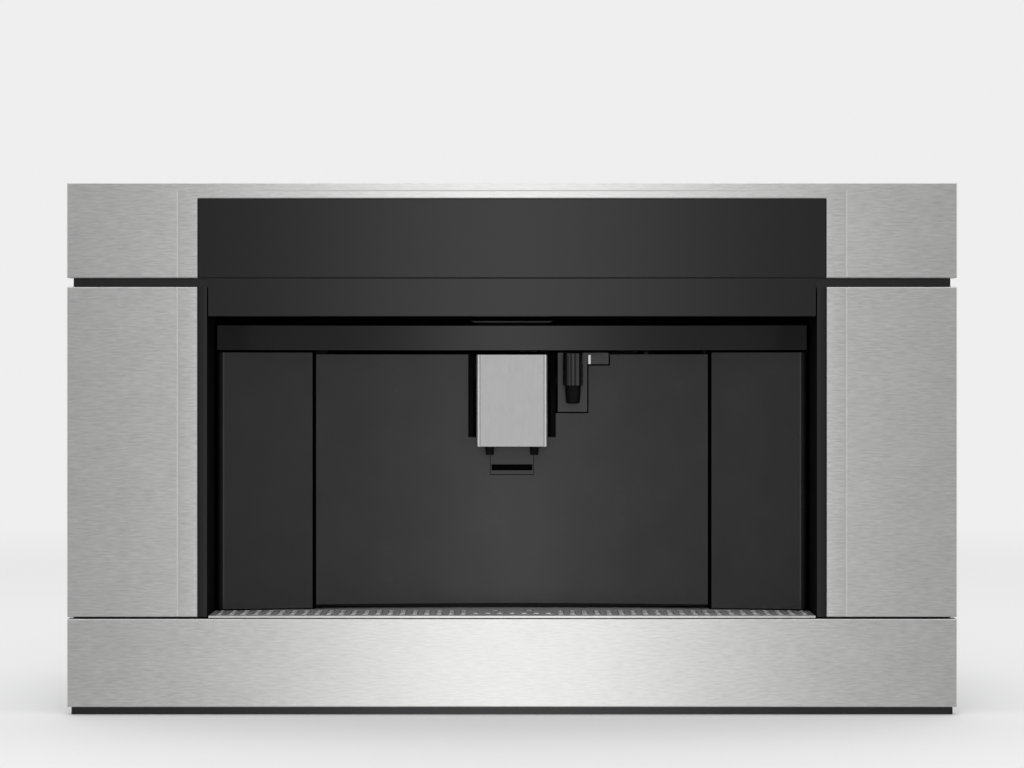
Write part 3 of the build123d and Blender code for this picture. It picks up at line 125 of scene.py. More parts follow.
def maths(tree, operation, *values):
    node = tree.nodes.new("ShaderNodeMath")
    node.operation = operation
    for socket, value in zip(node.inputs, values):
        if isinstance(value, (int, float)):
            socket.default_value = value
        else:
            tree.links.new(value, socket)
    return node.outputs[0]


def objectSpace(tree):
    return tree.nodes.new("ShaderNodeTexCoord").outputs["Object"]


def stretchedNoise(tree, stretch, detail=3.0):
    # noise in the part's own space, drawn out along the axes with small numbers
    mapping = addNode(tree, "ShaderNodeMapping", Scale=stretch)
    tree.links.new(objectSpace(tree), mapping.inputs["Vector"])
    noise = addNode(tree, "ShaderNodeTexNoise", Scale=1.0, Detail=detail, Roughness=noiseLook["roughness"])
    tree.links.new(mapping.outputs["Vector"], noise.inputs["Vector"])
    return noise.outputs["Fac"]


def evenNoise(tree, fineness, detail=3.0):
    return stretchedNoise(tree, even(fineness), detail)


def spread(tree, source, low, high):
    remap = addNode(tree, "ShaderNodeMapRange", From_Min=noiseLook["low"], From_Max=noiseLook["high"],
                    To_Min=low, To_Max=high)
    tree.links.new(source, remap.inputs["Value"])
    return remap.outputs["Result"]


def tint(tree, shader, source, dark, light):
    mix = tree.nodes.new("ShaderNodeMix")
    mix.data_type = "RGBA"
    mix.inputs[6].default_value = (*dark, 1)   # the sockets 6 and 7 are its two colours
    mix.inputs[7].default_value = (*light, 1)
    tree.links.new(source, mix.inputs[0])
    tree.links.new(mix.outputs[2], shader.inputs["Base Color"])


def relief(tree, shader, source, strength, distance):
    bump = addNode(tree, "ShaderNodeBump", Strength=strength, Distance=distance)
    tree.links.new(source, bump.inputs["Height"])
    tree.links.new(bump.outputs["Normal"], shader.inputs["Normal"])


# finishes: the noise's fineness is per metre, heights are in metres

steelLooks = {
    "brushed_steel": {
        "dark": (0.61, 0.61, 0.605),
        "light": (0.77, 0.77, 0.765),
        "roughness": (0.21, 0.26),
        "streaks": (95.0, 720.0, 720.0),   # long along X, fine along Z
        "mottle": (22.0, 40.0, 40.0),
        "relief": 0.06,
        "stretch": 0.9,
    },
    "cover_steel": {
        "dark": even(0.44),
        "light": even(0.48),
        "roughness": (0.22, 0.28),
        "streaks": (500.0, 500.0, 90.0),
        "mottle": even(60.0),
        "relief": 0.02,
        "stretch": 0.2,
    },
    "plate_steel": {
        "dark": even(0.70),
        "light": even(0.80),
        "roughness": (0.54, 0.62),
        "streaks": (120.0, 900.0, 900.0),
        "mottle": even(60.0),
        "relief": 0.03,
        "stretch": 0.0,
    },
    # painted highlight: a lighter steel on the spout cover's rounded sides, and on the release lip to make
    # up for the niche's shade
    "edge_steel": {
        "dark": even(0.82),
        "light": even(0.88),
        "roughness": (0.30, 0.36),
        "streaks": (500.0, 500.0, 90.0),
        "mottle": even(60.0),
        "relief": 0.02,
        "stretch": 0.0,
    },
    # painted reflection: a lighter, rougher steel in the pressed line stands for light off the crease
    "line_steel": {
        "dark": even(0.86),
        "light": even(0.92),
        "roughness": (0.50, 0.58),
        "streaks": even(300.0),
        "mottle": even(60.0),
        "relief": 0.0,
        "stretch": 0.0,
    },
}
brushing = {
    "streakDetail": 4.0,
    "mottleDetail": 2.0,
    "streakShare": 0.8,
    "height": 0.00005,
}


def makeBrushedSteel(name, look):
    material, tree, shader = newSurface(name, Metallic=1.0, Anisotropic=look["stretch"])
    streaks = stretchedNoise(tree, look["streaks"], brushing["streakDetail"])
    mottle = stretchedNoise(tree, look["mottle"], brushing["mottleDetail"])
    share = brushing["streakShare"]
    rest = maths(tree, "MULTIPLY", mottle, 1 - share)
    grain = maths(tree, "MULTIPLY_ADD", streaks, share, rest)
    tint(tree, shader, spread(tree, grain, 0.0, 1.0), look["dark"], look["light"])
    tree.links.new(spread(tree, grain, *look["roughness"]), shader.inputs["Roughness"])
    relief(tree, shader, streaks, look["relief"], brushing["height"])
    tangent = tree.nodes.new("ShaderNodeTangent")
    tangent.direction_type = "RADIAL"
    tangent.axis = "X"
    tree.links.new(tangent.outputs["Tangent"], shader.inputs["Tangent"])
    return material


glossLooks = {
    "mirror_black": {"colour": (0.004, 0.004, 0.0042), "roughness": 0.05, "waviness": 0.004, "gloss": 0.41},
    "chromed_black": {"colour": even(0.006), "roughness": 0.12, "waviness": 0.004, "gloss": 0.7},
    "gloss_black": {"colour": even(0.008), "roughness": 0.10, "waviness": 0.01, "gloss": 0.41},
}
glossWaves = {
    "haze": 14.0,
    "hazeShares": (0.8, 1.25),   # of the finish's own roughness
    "waves": 60.0,
    "height": 0.0002,
}


def makeGlossBlack(name, look):
    colour = (*look["colour"], 1)
    material, tree, shader = newSurface(name, Base_Color=colour, Specular_IOR_Level=look["gloss"])
    low, high = (look["roughness"] * share for share in glossWaves["hazeShares"])
    haze = spread(tree, evenNoise(tree, glossWaves["haze"]), low, high)
    tree.links.new(haze, shader.inputs["Roughness"])
    relief(tree, shader, evenNoise(tree, glossWaves["waves"]), look["waviness"], glossWaves["height"])
    return material


plasticLooks = {
    "satin_black": {
        "shades": (even(0.013), even(0.018)),
        "roughness": 0.25,
        "texture": 0.02,
        "gloss": 0.62,
    },
    # painted shade: a near-black, dull finish on niche walls, recesses, seams and hidden stems so that they
    # read as shadow
    "deep_black": {
        "shades": (even(0.002), even(0.004)),
        "roughness": 0.75,
        "texture": 0.1,
        "gloss": 0.08,
    },
    "foot_black": {
        "shades": (even(0.002), even(0.004)),
        "roughness": 0.12,
        "texture": 0.01,
        "gloss": 0.5,
    },
    "frosted_lens": {
        "shades": (even(0.05), even(0.07)),
        "roughness": 0.35,
        "texture": 0.05,
        "gloss": 0.5,
    },
    "soft_rubber": {
        "shades": (even(0.003), even(0.005)),
        "roughness": 0.6,
        "texture": 0.15,
        "gloss": 0.12,
    },
    "black_plastic": {
        "shades": ((0.012, 0.012, 0.013), (0.020, 0.020, 0.021)),
        "roughness": 0.5,
        "texture": 0.2,
        "gloss": 0.5,
    },
}
mouldTexture = {
    "blotches": 25.0,
    "grains": 1900.0,
    "grainDetail": 2.0,
    "height": 0.0001,
}


def makeMouldedPlastic(name, look):
    material, tree, shader = newSurface(name, Roughness=look["roughness"], Specular_IOR_Level=look["gloss"])
    blotches = evenNoise(tree, mouldTexture["blotches"])
    tint(tree, shader, spread(tree, blotches, 0.0, 1.0), *look["shades"])
    grains = evenNoise(tree, mouldTexture["grains"], mouldTexture["grainDetail"])
    relief(tree, shader, grains, look["texture"], mouldTexture["height"])
    return material


zincLooks = {
    "zinc_sheet": {
        "flakes": 170.0,
        "shades": ((0.50, 0.51, 0.52), (0.57, 0.58, 0.59)),
        "roughness": (0.36, 0.42),
    },
}


def makeZincSheet(name, look):
    material, tree, shader = newSurface(name, Metallic=1.0)
    flakes = addNode(tree, "ShaderNodeTexVoronoi", Scale=look["flakes"])
    tree.links.new(objectSpace(tree), flakes.inputs["Vector"])
    greys = tree.nodes.new("ShaderNodeSeparateColor")
    tree.links.new(flakes.outputs["Color"], greys.inputs["Color"])
    tint(tree, shader, greys.outputs["Red"], *look["shades"])
    tree.links.new(spread(tree, greys.outputs["Green"], *look["roughness"]), shader.inputs["Roughness"])
    return material


clearLooks = {
    "clear_plastic": {
        "colour": (0.42, 0.45, 0.48),
        "clearness": 0.75,
        "refraction": 1.3,
        "haze": 30.0,
        "roughness": (0.08, 0.2),
    },
}


def makeClearPlastic(name, look):
    material, tree, shader = newSurface(name, Base_Color=(*look["colour"], 1), IOR=look["refraction"],
                                        Transmission_Weight=look["clearness"])
    haze = evenNoise(tree, look["haze"])
    tree.links.new(spread(tree, haze, *look["roughness"]), shader.inputs["Roughness"])
    return material


castLooks = {
    "ground_tool_steel": {"shades": (even(0.40), even(0.55)), "roughness": 0.3},
    "cast_aluminium": {"shades": ((0.52, 0.53, 0.54), (0.70, 0.71, 0.72)), "roughness": 0.42},
    "motor_metal": {"shades": ((0.22, 0.23, 0.25), (0.34, 0.35, 0.37)), "roughness": 0.45},
}
castGrain = {
    "fineness": 260.0,
    "detail": 5.0,
    "relief": 0.25,
    "height": 0.0004,
}


def makeCastMetal(name, look):
    material, tree, shader = newSurface(name, Metallic=1.0, Roughness=look["roughness"])
    grain = evenNoise(tree, castGrain["fineness"], castGrain["detail"])
    tint(tree, shader, spread(tree, grain, 0.0, 1.0), *look["shades"])
    relief(tree, shader, grain, castGrain["relief"], castGrain["height"])
    return material


boardLooks = {
    "circuit_board": {
        "tracks": 160.0,
        "shades": ((0.02, 0.14, 0.07), (0.06, 0.3, 0.15)),
        "roughness": 0.35,
    },
}


def makeCircuitBoard(name, look):
    material, tree, shader = newSurface(name, Roughness=look["roughness"])
    tracks = addNode(tree, "ShaderNodeTexVoronoi", Scale=look["tracks"])
    tracks.distance = "MANHATTAN"
    tree.links.new(objectSpace(tree), tracks.inputs["Vector"])
    tint(tree, shader, tracks.outputs["Distance"], *look["shades"])
    return material


finishes = {}
for makeFinish, looks in (
    (makeBrushedSteel, steelLooks),
    (makeGlossBlack, glossLooks),
    (makeMouldedPlastic, plasticLooks),
    (makeZincSheet, zincLooks),
    (makeClearPlastic, clearLooks),
    (makeCastMetal, castLooks),
    (makeCircuitBoard, boardLooks),
):
    for name, look in looks.items():
        finishes[name] = makeFinish(name, look)

slotFinish = {
    "stainless": "brushed_steel",
    "black_glass": "mirror_black",
    "gloss_black": "gloss_black",
    "black_plastic": "black_plastic",
    "zinc_steel": "zinc_sheet",
    "clear_plastic": "clear_plastic",
    "burr_steel": "ground_tool_steel",
    "cast_aluminium": "cast_aluminium",
    "motor_metal": "motor_metal",
    "circuit_board": "circuit_board",
}
ownFinish = {
    "service_door": "satin_black",
    "niche_liner": "satin_black",
    "door_pull": "satin_black",
    "nozzle_carrier": "satin_black",
    "fascia": "mirror_black",
    "niche_hood": "mirror_black",
    # painted shade: the niche's inner walls, the bulkhead, the spout channel and its carriage get the dull
    # near-black
    "niche_surround": "deep_black",
    "bulkhead": "deep_black",
    "spout_channel": "deep_black",
    "spout_carriage": "deep_black",
    "spout_tips": "soft_rubber",
    "nozzle_tip": "soft_rubber",
    "cup_plate": "plate_steel",
    # painted shade on the hinge brackets
    "hinge_brackets": "deep_black",
    "front_frame": "foot_black",
    "spout_cover": "cover_steel",
    "hot_water_nozzle": "chromed_black",
    "cup_light": "frosted_lens",
    # painted light: the release lip is lighter to make up for the niche's shade
    "nozzle_release": "edge_steel",
}


def finishOf(nodeName):
    return finishes[ownFinish.get(nodeName, slotFinish[slotOf[nodeName]])]


def dress(piece, material):
    piece.data.materials.clear()
    piece.data.materials.append(material)


for name, node in nodes.items():
    dress(node, finishOf(name))
print("finishes made")


# a node's own shape with its corners rounded, which then stands for the node

rounding = {
    "merge": 0.000005,   # metres
    "flat": 0.5,         # degrees: a smaller turn between two faces is no edge
    "sharp": 35,         # degrees: a larger turn is rounded
    "segments": 2,
    "weight": 100,
}
edgeWidths = {   # metres; 0 leaves the corners sharp
    "upper_trim": 0.0004,
    "wing_panels": 0.0004,
    "bottom_panel": 0.0004,
    "control_glass": 0.0003,
    "fascia": 0.0005,
    "niche_hood": 0.0008,
    "niche_liner": 0.0005,
    "niche_surround": 0.0004,
    "service_door": 0.0005,
    "door_pull": 0.0004,
    "spout_cover": 0.0006,
    "nozzle_carrier": 0.0003,
    "hot_water_nozzle": 0.0006,
    "nozzle_tip": 0.0004,
    "nozzle_release": 0.0003,
    "cup_light": 0.0002,
    "cup_plate": 0,
    "main_switch": 0.0005,
    "hopper_lid": 0.0008,
    "funnel_lid": 0.0008,
    "tank_lid": 0.0010,
    "grind_knob": 0.0004,
    "power_inlet": 0.0006,
    "top_cover": 0.0004,
}


def mergedShape(mesh):
    # a CAD node's triangles are loose, so their corners are joined first
    shape = bmesh.new()
    shape.from_mesh(mesh)
    bmesh.ops.remove_doubles(shape, verts=shape.verts, dist=rounding["merge"])
    return shape


def roundedCopy(nodeName, width):
    mesh = nodes[nodeName].data.copy()
    shape = mergedShape(mesh)
    if width:
        flatAngle = math.radians(rounding["flat"])
        bmesh.ops.dissolve_limit(shape, angle_limit=flatAngle, verts=shape.verts, edges=shape.edges)
    shape.to_mesh(mesh)
    shape.free()
    piece = bpy.data.objects.new(nodeName + "_skin", mesh)
    scene.collection.objects.link(piece)
    if width:
        mesh.shade_smooth()
        bevel = piece.modifiers.new("edges", "BEVEL")
        bevel.width = width
        bevel.segments = rounding["segments"]
        bevel.limit_method = "ANGLE"
        bevel.angle_limit = math.radians(rounding["sharp"])
        flatten = piece.modifiers.new("flat_faces", "WEIGHTED_NORMAL")
        flatten.mode = "FACE_AREA"
        flatten.weight = rounding["weight"]
    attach(piece, bodyOf[nodeName])
    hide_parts(nodeName)
    return piece


def dressFaces(piece, finish, chosen):
    # a second finish on the faces whose middle and normal pass the test
    piece.data.materials.append(finishes[finish])
    index = len(piece.data.materials) - 1
    for face in piece.data.polygons:
        if chosen(face.center, face.normal):
            face.material_index = index


def alongAxis(axis, length=1.0):
    return [length if index == axis else 0.0 for index in range(3)]


pressedLine = {   # a fine groove in the steel beside the niche and over the control glass, in metres
    "besideGlass": 0.0174,
    "overGlass": 0.0070,
    "endInset": 0.0179,      # how much sooner than the glass the top line ends
    "half": 0.0005,
    "depth": 0.00008,
    "frontSkin": 0.0003,     # faces this close behind the front plane belong to it
    "touching": 0.00001,
    "cutting": 0.000001,
    "bottomShare": 0.1,      # of the half width
    "rimShare": 0.9,
}


def pressLine(piece):
    shape = bmesh.new()
    shape.from_mesh(piece.data)
    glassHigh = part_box("control_glass")[1]
    side = glassHigh[0] + pressedLine["besideGlass"]
    top = glassHigh[2] + pressedLine["overGlass"]
    reach = glassHigh[0] - pressedLine["endInset"]
    half = pressedLine["half"]
    cuts = [(0, sign * side + step) for sign in (-1, 1) for step in (-half, 0, half)]
    cuts += [(0, sign * reach) for sign in (-1, 1)] + [(2, top + step) for step in (-half, 0, half)]
    for axis, place in cuts:
        everything = shape.verts[:] + shape.edges[:] + shape.faces[:]
        bmesh.ops.bisect_plane(shape, geom=everything, dist=pressedLine["cutting"],
                               plane_co=alongAxis(axis, place), plane_no=alongAxis(axis))

    def away(point):
        # 0 on the groove's bottom line, 1 at its rims
        beside = abs(abs(point.x) - side) if point.z < top + half / 2 else 1.0
        above = abs(point.z - top) if abs(point.x) < reach - half / 2 else 1.0
        return min(beside, above) / half

    for corner in shape.verts:
        onFront = abs(corner.co.y - frontPlane) < pressedLine["touching"]
        if onFront and away(corner.co) < pressedLine["bottomShare"]:
            corner.co.y += pressedLine["depth"]
    shape.to_mesh(piece.data)
    shape.free()
    behind = frontPlane + pressedLine["frontSkin"]
    # painted reflection: the pressed line's faces get the lighter, rougher steel
    dressFaces(piece, "line_steel",
               lambda middle, normal: middle.y < behind and away(middle) < pressedLine["rimShare"])


skins = {name: roundedCopy(name, width) for name, width in edgeWidths.items()}
for name in ("upper_trim", "wing_panels"):
    pressLine(skins[name])

secondFinish = {   # shares of a unit normal, and metres
    "ahead": 0.9,                # how far a face looks straight ahead
    "inside": 0.4,               # less than this ahead or back is a wall
    "coverSides": (0.15, 0.95),  # how far the cover's rounded sides look sideways
    "releaseLip": 0.0024,
    "pullRim": 0.003,
    "carrierRim": 0.002,
    "lensHeight": 0.0015,
}
ahead, inside = secondFinish["ahead"], secondFinish["inside"]
# the niche surround keeps the painted shade black on all but its front faces
dressFaces(skins["niche_surround"], "mirror_black", lambda middle, normal: normal.y < -ahead)
dressFaces(skins["cup_plate"], "brushed_steel", lambda middle, normal: normal.y < -ahead)
# painted shade on the side walls of the door and the liner
for name in ("service_door", "niche_liner"):
    dressFaces(skins[name], "deep_black", lambda middle, normal: abs(normal.y) < inside)
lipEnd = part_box("nozzle_release")[0][0] + secondFinish["releaseLip"]
dressFaces(skins["nozzle_release"], "satin_black", lambda middle, normal: middle.x > lipEnd)
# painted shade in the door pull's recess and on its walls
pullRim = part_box("door_pull")[0][1] + secondFinish["pullRim"]
dressFaces(skins["door_pull"], "deep_black",
           lambda middle, normal: middle.y > pullRim or abs(normal.y) < inside)
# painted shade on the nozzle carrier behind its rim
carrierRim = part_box("nozzle_carrier")[0][1] + secondFinish["carrierRim"]
dressFaces(skins["nozzle_carrier"], "deep_black", lambda middle, normal: middle.y > carrierRim)
# painted highlight on the spout cover's rounded sides
least, most = secondFinish["coverSides"]
dressFaces(skins["spout_cover"], "edge_steel", lambda middle, normal: least < abs(normal.x) < most)
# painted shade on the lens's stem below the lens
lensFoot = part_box("cup_light")[1][2] - secondFinish["lensHeight"]
dressFaces(skins["cup_light"], "deep_black", lambda middle, normal: middle.z < lensFoot)
print("front pieces rounded")


# repeats: one node tree sets a unit out on points, each aimed outwards and turned a little

def makePatternTree():
    tree = bpy.data.node_groups.new("set_out", "GeometryNodeTree")
    inputs = {"Places": "Geometry", "Unit": "Object", "Finish": "Material", "Turn": "Float", "Seed": "Int"}
    for label, kind in inputs.items():
        tree.interface.new_socket(label, in_out="INPUT", socket_type="NodeSocket" + kind)
    tree.interface.new_socket("Pieces", in_out="OUTPUT", socket_type="NodeSocketGeometry")
    start = tree.nodes.new("NodeGroupInput")
    aim = addNode(tree, "GeometryNodeInputNamedAttribute", Name="aim")
    aim.data_type = "FLOAT_VECTOR"
    align = tree.nodes.new("FunctionNodeAlignRotationToVector")
    align.axis = "Z"
    chance = tree.nodes.new("FunctionNodeRandomValue")
    chance.data_type = "FLOAT"
    spin = tree.nodes.new("FunctionNodeAxisAngleToRotation")
    turned = tree.nodes.new("FunctionNodeRotateRotation")
    turned.rotation_space = "LOCAL"
    unit = tree.nodes.new("GeometryNodeObjectInfo")
    instances = tree.nodes.new("GeometryNodeInstanceOnPoints")
    realize = tree.nodes.new("GeometryNodeRealizeInstances")
    paint = tree.nodes.new("GeometryNodeSetMaterial")
    end = tree.nodes.new("NodeGroupOutput")
    for source, target in (
        (aim.outputs["Attribute"], align.inputs["Vector"]),
        (start.outputs["Turn"], chance.inputs[3]),    # the highest float
        (start.outputs["Seed"], chance.inputs["Seed"]),
        (chance.outputs[1], spin.inputs["Angle"]),    # the float drawn
        (align.outputs["Rotation"], turned.inputs["Rotation"]),
        (spin.outputs["Rotation"], turned.inputs["Rotate By"]),
        (start.outputs["Unit"], unit.inputs["Object"]),
        (start.outputs["Places"], instances.inputs["Points"]),
        (unit.outputs["Geometry"], instances.inputs["Instance"]),
        (turned.outputs["Rotation"], instances.inputs["Rotation"]),
        (instances.outputs["Instances"], realize.inputs["Geometry"]),
        (realize.outputs["Geometry"], paint.inputs["Geometry"]),
        (start.outputs["Finish"], paint.inputs["Material"]),
        (paint.outputs["Geometry"], end.inputs["Pieces"]),
    ):
        tree.links.new(source, target)
    return tree


patternTree = makePatternTree()


def setOut(name, unitMesh, places, finish, node, turn=0.0, seed=1):
    # places is a list of points and the direction that each unit's own Z faces
    points = bpy.data.meshes.new(name + "_places")
    points.from_pydata([point for point, _ in places], [], [])
    aims = points.attributes.new("aim", "FLOAT_VECTOR", "POINT")
    aims.data.foreach_set("vector", [value for _, aim in places for value in aim])
    carrier = bpy.data.objects.new(name + "_carrier", points)
    unit = bpy.data.objects.new(name + "_unit", unitMesh)
    scene.collection.objects.link(carrier)
    scene.collection.objects.link(unit)
    modifier = carrier.modifiers.new("set_out", "NODES")
    modifier.node_group = patternTree
    values = {"Unit": unit, "Finish": finish, "Turn": turn, "Seed": seed}
    for item in patternTree.interface.items_tree:
        if item.in_out == "INPUT" and item.name in values:
            modifier[item.identifier] = values[item.name]
    graph = bpy.context.evaluated_depsgraph_get()
    mesh = bpy.data.meshes.new_from_object(carrier.evaluated_get(graph), depsgraph=graph)
    bpy.data.objects.remove(carrier)
    bpy.data.objects.remove(unit)
    piece = bpy.data.objects.new(name, mesh)
    scene.collection.objects.link(piece)
    dress(piece, finish)
    mesh.shade_smooth()
    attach(piece, bodyOf[node])
    return piece


def islands(nodeName, wanted=lambda face: True):
    # lowest corner, highest corner and face count of each group of joined faces
    shape = mergedShape(nodes[nodeName].data)
    left = {face for face in shape.faces if wanted(face)}
    boxes = []
    while left:
        group, edge = set(), {left.pop()}
        while edge:
            group |= edge
            edge = {near for face in edge for corner in face.verts for near in corner.link_faces} & left
            left -= edge
        points = [corner.co for face in group for corner in face.verts]
        low, high = ([pick(point[axis] for point in points) for axis in range(3)] for pick in (min, max))
        boxes.append((Vector(low), Vector(high), len(group)))
    shape.free()
    return sorted(boxes, key=lambda box: (*box[0], *box[1]))   # a set's own order changes from run to run


def ringMesh(name, rings, segments, lobes):
    # turned profile of (radius, height, lobe depth) rings, closed at both ends
    points = []
    for radius, height, depth in rings:
        for step in range(segments):
            angle = math.tau * step / segments
            reach = radius + depth * math.cos(lobes * angle)
            points.append((reach * math.cos(angle), reach * math.sin(angle), height))
    faces = []
    for row in range(len(rings) - 1):
        for step in range(segments):
            after = (step + 1) % segments
            first = row * segments
            faces.append((first + step, first + after, first + segments + after, first + segments + step))
    faces.append(tuple(reversed(range(segments))))
    faces.append(tuple(range(len(points) - segments, len(points))))
    mesh = bpy.data.meshes.new(name)
    mesh.from_pydata(points, [], faces)
    return mesh


screwLook = {
    "rings": (   # metres: radius, height over the seat, lobe depth
        (0.0015, -0.0060, 0), (0.0015, 0, 0), (0.0035, 0, 0), (0.0035, 0.0008, 0), (0.0033, 0.0013, 0),
        (0.0027, 0.0018, 0), (0.0018, 0.0020, 0.00005), (0.00155, 0.0019, 0.0002), (0.0014, 0.0008, 0.0002),
        (0.0004, 0.0007, 0)),
    "segments": 36,
    "lobes": 6,
    "turn": 1.0,
    "seed": 4,
}


def makeScrews():
    headHeight = max(height for _, height, _ in screwLook["rings"])
    places = []
    for low, high, _ in islands("case_screws"):
        size = high - low
        axis = max(range(3), key=lambda index: size[index])
        seat = (low + high) / 2
        seat[axis] = high[axis] - headHeight
        places.append((seat, alongAxis(axis)))
    unit = ringMesh("screw", screwLook["rings"], screwLook["segments"], screwLook["lobes"])
    piece = setOut("case_screw_set", unit, places, finishOf("case_screws"), "case_screws",
                   screwLook["turn"], screwLook["seed"])
    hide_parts("case_screws")


rimLook = {
    "bead": 0.00040,
    "beadSides": 8,
    "cornerSteps": 4,
    "smallest": 0.0035,
    "largest": 0.0085,
    "longest": 0.07,
    "corner": 0.0008,
    "roundFrom": 12,        # a cut-out with more wall faces than this is round
    "wall": 0.1,            # a wall's normal has less than this along the sheet's axis
    "middleSlack": 0.001,   # a cut-out's middle may stand this far in and still be on the high side
}


def rimMesh(name, width, length, cornerRadius):
    # round bead along the edge of a cut-out that is centred on the origin
    bead, beadSides, cornerSteps = (rimLook[key] for key in ("bead", "beadSides", "cornerSteps"))
    corners = ((1, 1), (-1, 1), (-1, -1), (1, -1))
    path = []
    for corner, (sideX, sideY) in enumerate(corners):
        for step in range(cornerSteps + 1):
            angle = math.tau * (corner + step / cornerSteps) / len(corners)
            path.append((sideX * (width / 2 - cornerRadius) + cornerRadius * math.cos(angle),
                         sideY * (length / 2 - cornerRadius) + cornerRadius * math.sin(angle),
                         math.cos(angle), math.sin(angle)))
    points = []
    for x, y, outX, outY in path:
        for step in range(beadSides):
            angle = math.tau * step / beadSides
            reach = bead * math.cos(angle)
            points.append((x + reach * outX, y + reach * outY, bead * math.sin(angle)))
    faces = []
    for row in range(len(path)):
        first, after = row * beadSides, (row + 1) % len(path) * beadSides
        for step in range(beadSides):
            turn = (step + 1) % beadSides
            faces.append((first + step, after + step, after + turn, first + turn))
    mesh = bpy.data.meshes.new(name)
    mesh.from_pydata(points, [], faces)
    return mesh


def makeRims(nodeName, axis, finish):
    # a rolled edge round each small cut-out in a sheet whose thickness runs along the axis
    across, along = [index for index in range(3) if index != axis]
    groups = {}
    sheetLow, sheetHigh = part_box(nodeName)
    turningPoint = (sheetLow[axis] + sheetHigh[axis]) / 2 - rimLook["middleSlack"]
    for low, high, faceCount in islands(nodeName, lambda face: abs(face.normal[axis]) < rimLook["wall"]):
        size = high - low
        narrow, wide = sorted((size[across], size[along]))
        if not (rimLook["smallest"] < narrow < rimLook["largest"] and wide < rimLook["longest"]):
            continue
        middle = (low + high) / 2
        outside = 1.0 if middle[axis] > turningPoint else -1.0
        middle[axis] = high[axis] if outside > 0 else low[axis]
        key = (round(size[across], 4), round(size[along], 4), faceCount > rimLook["roundFrom"])
        groups.setdefault(key, []).append((middle, alongAxis(axis, outside)))
    for number, ((width, length, isRound), places) in enumerate(sorted(groups.items())):
        cornerRadius = width / 2 if isRound else rimLook["corner"]
        unit = rimMesh(f"{nodeName}_rim", width, length, cornerRadius)
        setOut(f"{nodeName}_rims_{number}", unit, places, finishes[finish], nodeName)
        print(f"{nodeName} rims: {len(places)} of {width * 1000:.1f} by {length * 1000:.1f} mm")


makeScrews()
makeRims("cup_plate", 2, "brushed_steel")
makeRims("rear_panel", 1, "zinc_sheet")
makeRims("side_panels", 0, "zinc_sheet")
print("repeats set out")


# camera, world, floor and lamps

studio = {   # metres and millimetres for the camera, and light strengths
    "cameraDistance": 2.425,   # in front of the front plane
    "cameraHeight": 0.2823,
    "lens": 100.0,
    "sensor": 36.0,
    "backdrop": 0.86,
    "diffuse": 0.80,
    "base": 0.22,
    "wide": (0.30, 12.0),      # strength and spread in degrees
    "narrow": (1.0, 2.8),
    "sides": 0.75,
    "rear": 0.55,
    "overhead": 1.25,
    "below": 0.5,
    "frontFade": (-0.1, 0.1),  # a direction's Y, from ahead of the machine to behind it
    "sideFade": (0.16, 0.45),  # squared sine of the turn
    "steepFade": (0.5, 0.85),  # a direction's Z, from level to steep
}


def makeCamera():
    data = bpy.data.cameras.new("camera")
    data.lens = studio["lens"]
    data.sensor_width = studio["sensor"]
    data.sensor_fit = "HORIZONTAL"
    camera = bpy.data.objects.new("camera", data)
    camera.location = (0, frontPlane - studio["cameraDistance"], studio["cameraHeight"])
    camera.rotation_euler = (math.radians(90), 0, 0)   # level
    scene.collection.objects.link(camera)
    scene.camera = camera


def ramp(tree, source, start, stop, low, high):
    # eases from low to high while source goes from start to stop
    remap = addNode(tree, "ShaderNodeMapRange", From_Min=start, From_Max=stop, To_Min=low, To_Max=high)
    remap.interpolation_type = "SMOOTHSTEP"
    tree.links.new(source, remap.inputs["Value"])
    return remap.outputs["Result"]


def softBand(tree, turned, strength, degrees):
    # turned is the squared sine of the angle away from straight ahead
    width = -2 * math.sin(math.radians(degrees)) ** 2
    return maths(tree, "MULTIPLY", maths(tree, "EXPONENT", maths(tree, "DIVIDE", turned, width)), strength)


def glossLevel(tree, direction):
    # what the finishes mirror: two upright bands ahead, sides and rear, overhead and below
    parts = tree.nodes.new("ShaderNodeSeparateXYZ")
    tree.links.new(direction, parts.inputs["Vector"])
    sideSquare = maths(tree, "POWER", parts.outputs["X"], 2.0)
    aheadSquare = maths(tree, "POWER", parts.outputs["Y"], 2.0)
    flat = maths(tree, "ADD", maths(tree, "ADD", sideSquare, aheadSquare), 0.0001)   # never 0
    turned = maths(tree, "DIVIDE", sideSquare, flat)
    wide, narrow = (softBand(tree, turned, *studio[key]) for key in ("wide", "narrow"))
    bands = maths(tree, "ADD", wide, narrow)
    inFront = ramp(tree, parts.outputs["Y"], *studio["frontFade"], 1.0, 0.0)
    front = maths(tree, "MULTIPLY", maths(tree, "ADD", bands, studio["base"]), inFront)
    rear = ramp(tree, parts.outputs["Y"], *studio["frontFade"], 0.0, studio["rear"])
    sides = ramp(tree, turned, *studio["sideFade"], 0.0, studio["sides"])
    around = maths(tree, "MAXIMUM", maths(tree, "ADD", front, rear), sides)
    level, steep = studio["steepFade"]
    upright = maths(tree, "ABSOLUTE", parts.outputs["Z"])
    levelShare = ramp(tree, upright, level, steep, 1.0, 0.0)
    overhead = ramp(tree, parts.outputs["Z"], level, steep, 0.0, studio["overhead"])
    below = ramp(tree, parts.outputs["Z"], -steep, -level, studio["below"], 0.0)
    ends = maths(tree, "ADD", overhead, below)
    return maths(tree, "ADD", maths(tree, "MULTIPLY", around, levelShare), ends)


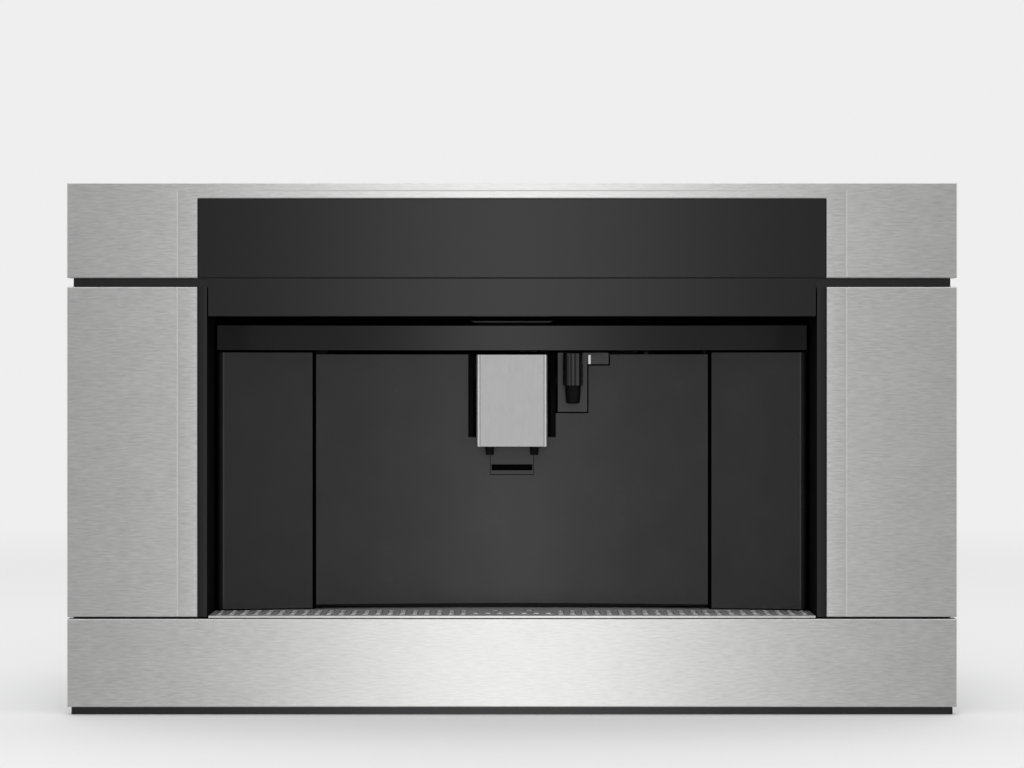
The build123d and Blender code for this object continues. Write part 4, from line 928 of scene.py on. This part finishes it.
def makeWorld():
    world = bpy.data.worlds.new("studio")
    world.use_nodes = True
    tree = world.node_tree
    tree.nodes.clear()
    output = tree.nodes.new("ShaderNodeOutputWorld")
    ray = tree.nodes.new("ShaderNodeLightPath").outputs
    direction = tree.nodes.new("ShaderNodeTexCoord").outputs["Generated"]

    def background(strength):
        node = addNode(tree, "ShaderNodeBackground", Color=(1, 1, 1, 1))
        if isinstance(strength, float):
            node.inputs["Strength"].default_value = strength
        else:
            tree.links.new(strength, node.inputs["Strength"])
        return node.outputs[0]

    def choose(factor, first, second):
        node = tree.nodes.new("ShaderNodeMixShader")
        tree.links.new(factor, node.inputs["Fac"])
        tree.links.new(first, node.inputs[1])
        tree.links.new(second, node.inputs[2])
        return node.outputs[0]

    matte = choose(ray["Is Camera Ray"], background(studio["diffuse"]), background(studio["backdrop"]))
    gloss = background(glossLevel(tree, direction))
    tree.links.new(choose(ray["Is Glossy Ray"], matte, gloss), output.inputs["Surface"])
    scene.world = world


floorLook = {
    "reach": 40.0,        # metres each way
    "shades": (even(0.79), even(0.81)),
    "mottle": 3.0,
    "roughness": 0.8,
    "fade": (1.1, 3.2),   # metres from the middle over which it runs into the backdrop
}


def makeFloor():
    mesh = bpy.data.meshes.new("floor")
    reach = floorLook["reach"]
    corners = [(-reach, -reach, 0), (reach, -reach, 0), (reach, reach, 0), (-reach, reach, 0)]
    mesh.from_pydata(corners, [], [(0, 1, 2, 3)])
    floor = bpy.data.objects.new("floor", mesh)
    floor.visible_glossy = False
    scene.collection.objects.link(floor)
    material, tree, shader = newSurface("pale_floor", Roughness=floorLook["roughness"])
    tint(tree, shader, evenNoise(tree, floorLook["mottle"]), *floorLook["shades"])
    distance = tree.nodes.new("ShaderNodeVectorMath")
    distance.operation = "LENGTH"
    tree.links.new(objectSpace(tree), distance.inputs[0])
    far = ramp(tree, distance.outputs["Value"], *floorLook["fade"], 0.0, 1.0)
    ray = tree.nodes.new("ShaderNodeLightPath").outputs
    glow = addNode(tree, "ShaderNodeEmission", Color=(1, 1, 1, 1), Strength=studio["backdrop"])
    mix = tree.nodes.new("ShaderNodeMixShader")
    tree.links.new(maths(tree, "MULTIPLY", far, ray["Is Camera Ray"]), mix.inputs["Fac"])
    tree.links.new(shader.outputs["BSDF"], mix.inputs[1])
    tree.links.new(glow.outputs["Emission"], mix.inputs[2])
    tree.links.new(mix.outputs[0], tree.nodes["Material Output"].inputs["Surface"])
    floor.data.materials.append(material)


lamps = {   # metres and watts
    "front_lamp": {"place": (0, -3.4, 1.6), "size": (2.4, 1.6), "watts": 35},
    "top_lamp": {"place": (0, 0.2, 3.0), "size": (2.0, 2.0), "watts": 25},
}
lampTarget = (0, 0, 0.2)


def makeLamp(name, place, size, watts):
    data = bpy.data.lights.new(name, "AREA")
    data.shape = "RECTANGLE"
    data.size, data.size_y = size
    data.energy = watts
    lamp = bpy.data.objects.new(name, data)
    lamp.location = place
    lamp.rotation_euler = (Vector(lampTarget) - Vector(place)).to_track_quat("-Z", "Y").to_euler()
    lamp.visible_glossy = False
    scene.collection.objects.link(lamp)


makeCamera()
makeWorld()
makeFloor()
for name, lamp in lamps.items():
    makeLamp(name, **lamp)
scene.view_settings.view_transform = "Standard"
print("camera and light set")
